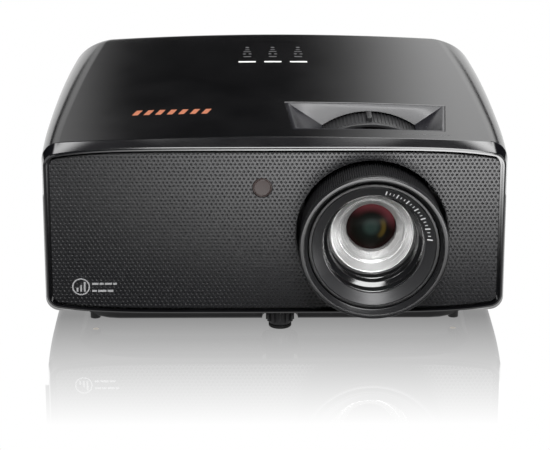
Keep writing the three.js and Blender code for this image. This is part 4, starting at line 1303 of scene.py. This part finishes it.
for key in ("power_key", "up_key", "down_key", "left_key", "right_key", "enter_key"):
    otherPieces[key] = ("tray", "tray", 0.35)
for corner in ("front_left", "front_right", "rear_left", "rear_right"):
    otherPieces["mount_insert_" + corner] = ("brass", "brass", 0.2)


def refined(node, slotName, finish, width):
    source = frame["nodes"][node]
    mesh = source.data.copy()
    mesh.transform(source.matrix_world)
    bm = bmesh.new()
    bm.from_mesh(mesh)
    bmesh.ops.remove_doubles(bm, verts=bm.verts, dist=0.001 * mm)
    bmesh.ops.dissolve_limit(bm, angle_limit=math.radians(0.5), verts=bm.verts, edges=bm.edges)
    bm.to_mesh(mesh)
    bm.free()
    obj = bpy.data.objects.new(node + "_fine", mesh)
    bpy.context.scene.collection.objects.link(obj)
    softened(obj, width, 2, 30)
    return placed(shaded(obj, 34), source["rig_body"], slotName, finish, node)


for node, (slotName, finish, width) in otherPieces.items():
    refined(node, slotName, finish, width)
print("other pieces made:", len(otherPieces))


# Floor and light

studio = {
    "floorSize": 12.0, "mirror": 0.72, "mirrorLimit": 0.76,
    "frontStart": 0.085, "frontFade": 0.19, "sideStart": 0.16, "sideFade": 0.05,
    "rearStart": 0.12, "rearFade": 0.07, "aim": (0.02, -0.1, 0.08),
    "dark": 0.01, "right": 1.5, "left": 0.75, "beneath": 0.45, "ceilingRight": 8.0, "ceilingLeft": 6.0,
}


def makeFloor():
    half = studio["floorSize"] / 2 / mm
    floor = meshObject("floor", [(-half, -half, -0.02), (half, -half, -0.02), (half, half, -0.02),
                                 (-half, half, -0.02)], [(0, 1, 2, 3)])
    finish = Finish("floor_white")
    x, y = finish.split(finish.place)[:2]
    sideways = finish.add("ShaderNodeMath", {"operation": "ABSOLUTE"}, {0: x})
    side = (sideways - studio["sideStart"]) / studio["sideFade"]
    front = (0.0 - y - studio["frontStart"]) / studio["frontFade"]
    rear = (y - studio["rearStart"]) / studio["rearFade"]
    beyond = side.maths("MAXIMUM", side.maths("MAXIMUM", side, front), rear)
    fade = (1.0 - beyond) * studio["mirror"]
    share = finish.add("ShaderNodeClamp", {}, {0: fade, 1: 0.0, 2: studio["mirrorLimit"]})
    white = finish.add("ShaderNodeEmission", {}, {"Color": (1.0, 1.0, 1.0, 1.0), "Strength": 1.0})
    gloss = finish.add("ShaderNodeBsdfGlossy", {}, {"Color": (1.0, 1.0, 1.0, 1.0), "Roughness": 0.02})
    mix = finish.add("ShaderNodeMixShader", {}, {0: share, 1: white, 2: gloss})
    finish.add("ShaderNodeOutputMaterial", {}, {"Surface": mix})
    floor.data.materials.append(finish.material)
    floor.visible_glossy = False
    floor.visible_diffuse = False


def makeCard(name, corners, glow):
    # a white card that only reflections see
    card = meshObject(name, corners, [(0, 1, 2, 3)])
    finish = Finish(name)
    strength = glow(finish) if callable(glow) else glow
    light = finish.add("ShaderNodeEmission", {}, {"Strength": strength})
    finish.add("ShaderNodeOutputMaterial", {}, {"Surface": light})
    card.data.materials.append(finish.material)
    card.visible_camera = False
    card.visible_diffuse = False
    card.visible_shadow = False


def standing(fromX, toX, y, top):
    return [(fromX, y, 0.5), (toX, y, 0.5), (toX, y, top), (fromX, y, top)]


def floorGlow(finish):
    # the floor as the front of the case reflects it: dark close by, brighter further out and to the right
    x, y = finish.split(finish.place)[:2]
    away = (0.0 - y).sharpened(0.20, 0.62)
    across = x.sharpened(-0.225, 0.09)
    return 0.05 + away * away * across * 14.0


def makeAreaLight(name, place, size, power):
    data = bpy.data.lights.new(name, "AREA")
    data.shape = "RECTANGLE"
    data.size, data.size_y = size
    data.energy = power
    obj = bpy.data.objects.new(name, data)
    obj.location = place
    obj.rotation_euler = (Vector(studio["aim"]) - Vector(place)).to_track_quat("-Z", "Y").to_euler()
    obj.visible_camera = False
    bpy.context.scene.collection.objects.link(obj)


def makeWorld():
    # dark overall, with a broad bright side behind on the right and a narrow one behind on the left
    world = bpy.data.worlds.new("studio")
    world.use_nodes = True
    bpy.context.scene.world = world
    sheet = NodeSheet(world.node_tree)
    direction = sheet.add("ShaderNodeTexCoord", output="Generated")
    x, y, z = sheet.split(direction)
    azimuth = sheet.add("ShaderNodeMath", {"operation": "ARCTAN2"}, {0: x, 1: y})
    upright = z.sharpened(0.17, 0.27) * (1.0 - z.sharpened(0.55, 0.9))
    rising = azimuth.sharpened(0.00, 0.13)
    right = rising * rising * (1.0 - azimuth.sharpened(0.35, 0.9)) * upright
    left = (0.0 - azimuth).sharpened(0.085, 0.14) * (1.0 - (0.0 - azimuth).sharpened(0.25, 0.7)) * upright
    beneath = (0.0 - z).sharpened(0.12, 0.40)
    overhead = z.sharpened(0.86, 0.94) * y.sharpened(0.10, 0.24)
    toRight = x.sharpened(0.02, 0.12)
    toLeft = (0.0 - x).sharpened(0.062, 0.09)
    ceiling = (toRight * toRight * studio["ceilingRight"] + toLeft * studio["ceilingLeft"]) * overhead
    sides = right * studio["right"] + left * studio["left"] + beneath * studio["beneath"]
    strength = studio["dark"] + sides + ceiling
    back = sheet.add("ShaderNodeBackground", {}, {"Color": (1.0, 1.0, 1.0, 1.0), "Strength": strength})
    sheet.add("ShaderNodeOutputWorld", {}, {"Surface": back})


makeFloor()
makeCard("cardBack", standing(-420, 420, 205, 172), 1.0)
makeCard("cardLeft", standing(-800, -165.6, -128, 420), 1.0)
makeCard("cardRight", standing(800, 165.6, -128, 420), 1.0)
makeCard("cardFloor", [(-900, -1400, -1), (900, -1400, -1), (900, -150, -1), (-900, -150, -1)], floorGlow)
makeWorld()
makeAreaLight("softBox", (0.28, -0.55, 1.05), (1.1, 0.4), 11.0)
makeAreaLight("frontBox", (0.20, -2.0, 1.6), (0.9, 1.2), 34.0)
bpy.context.scene.view_settings.view_transform = "Standard"
print("studio made")
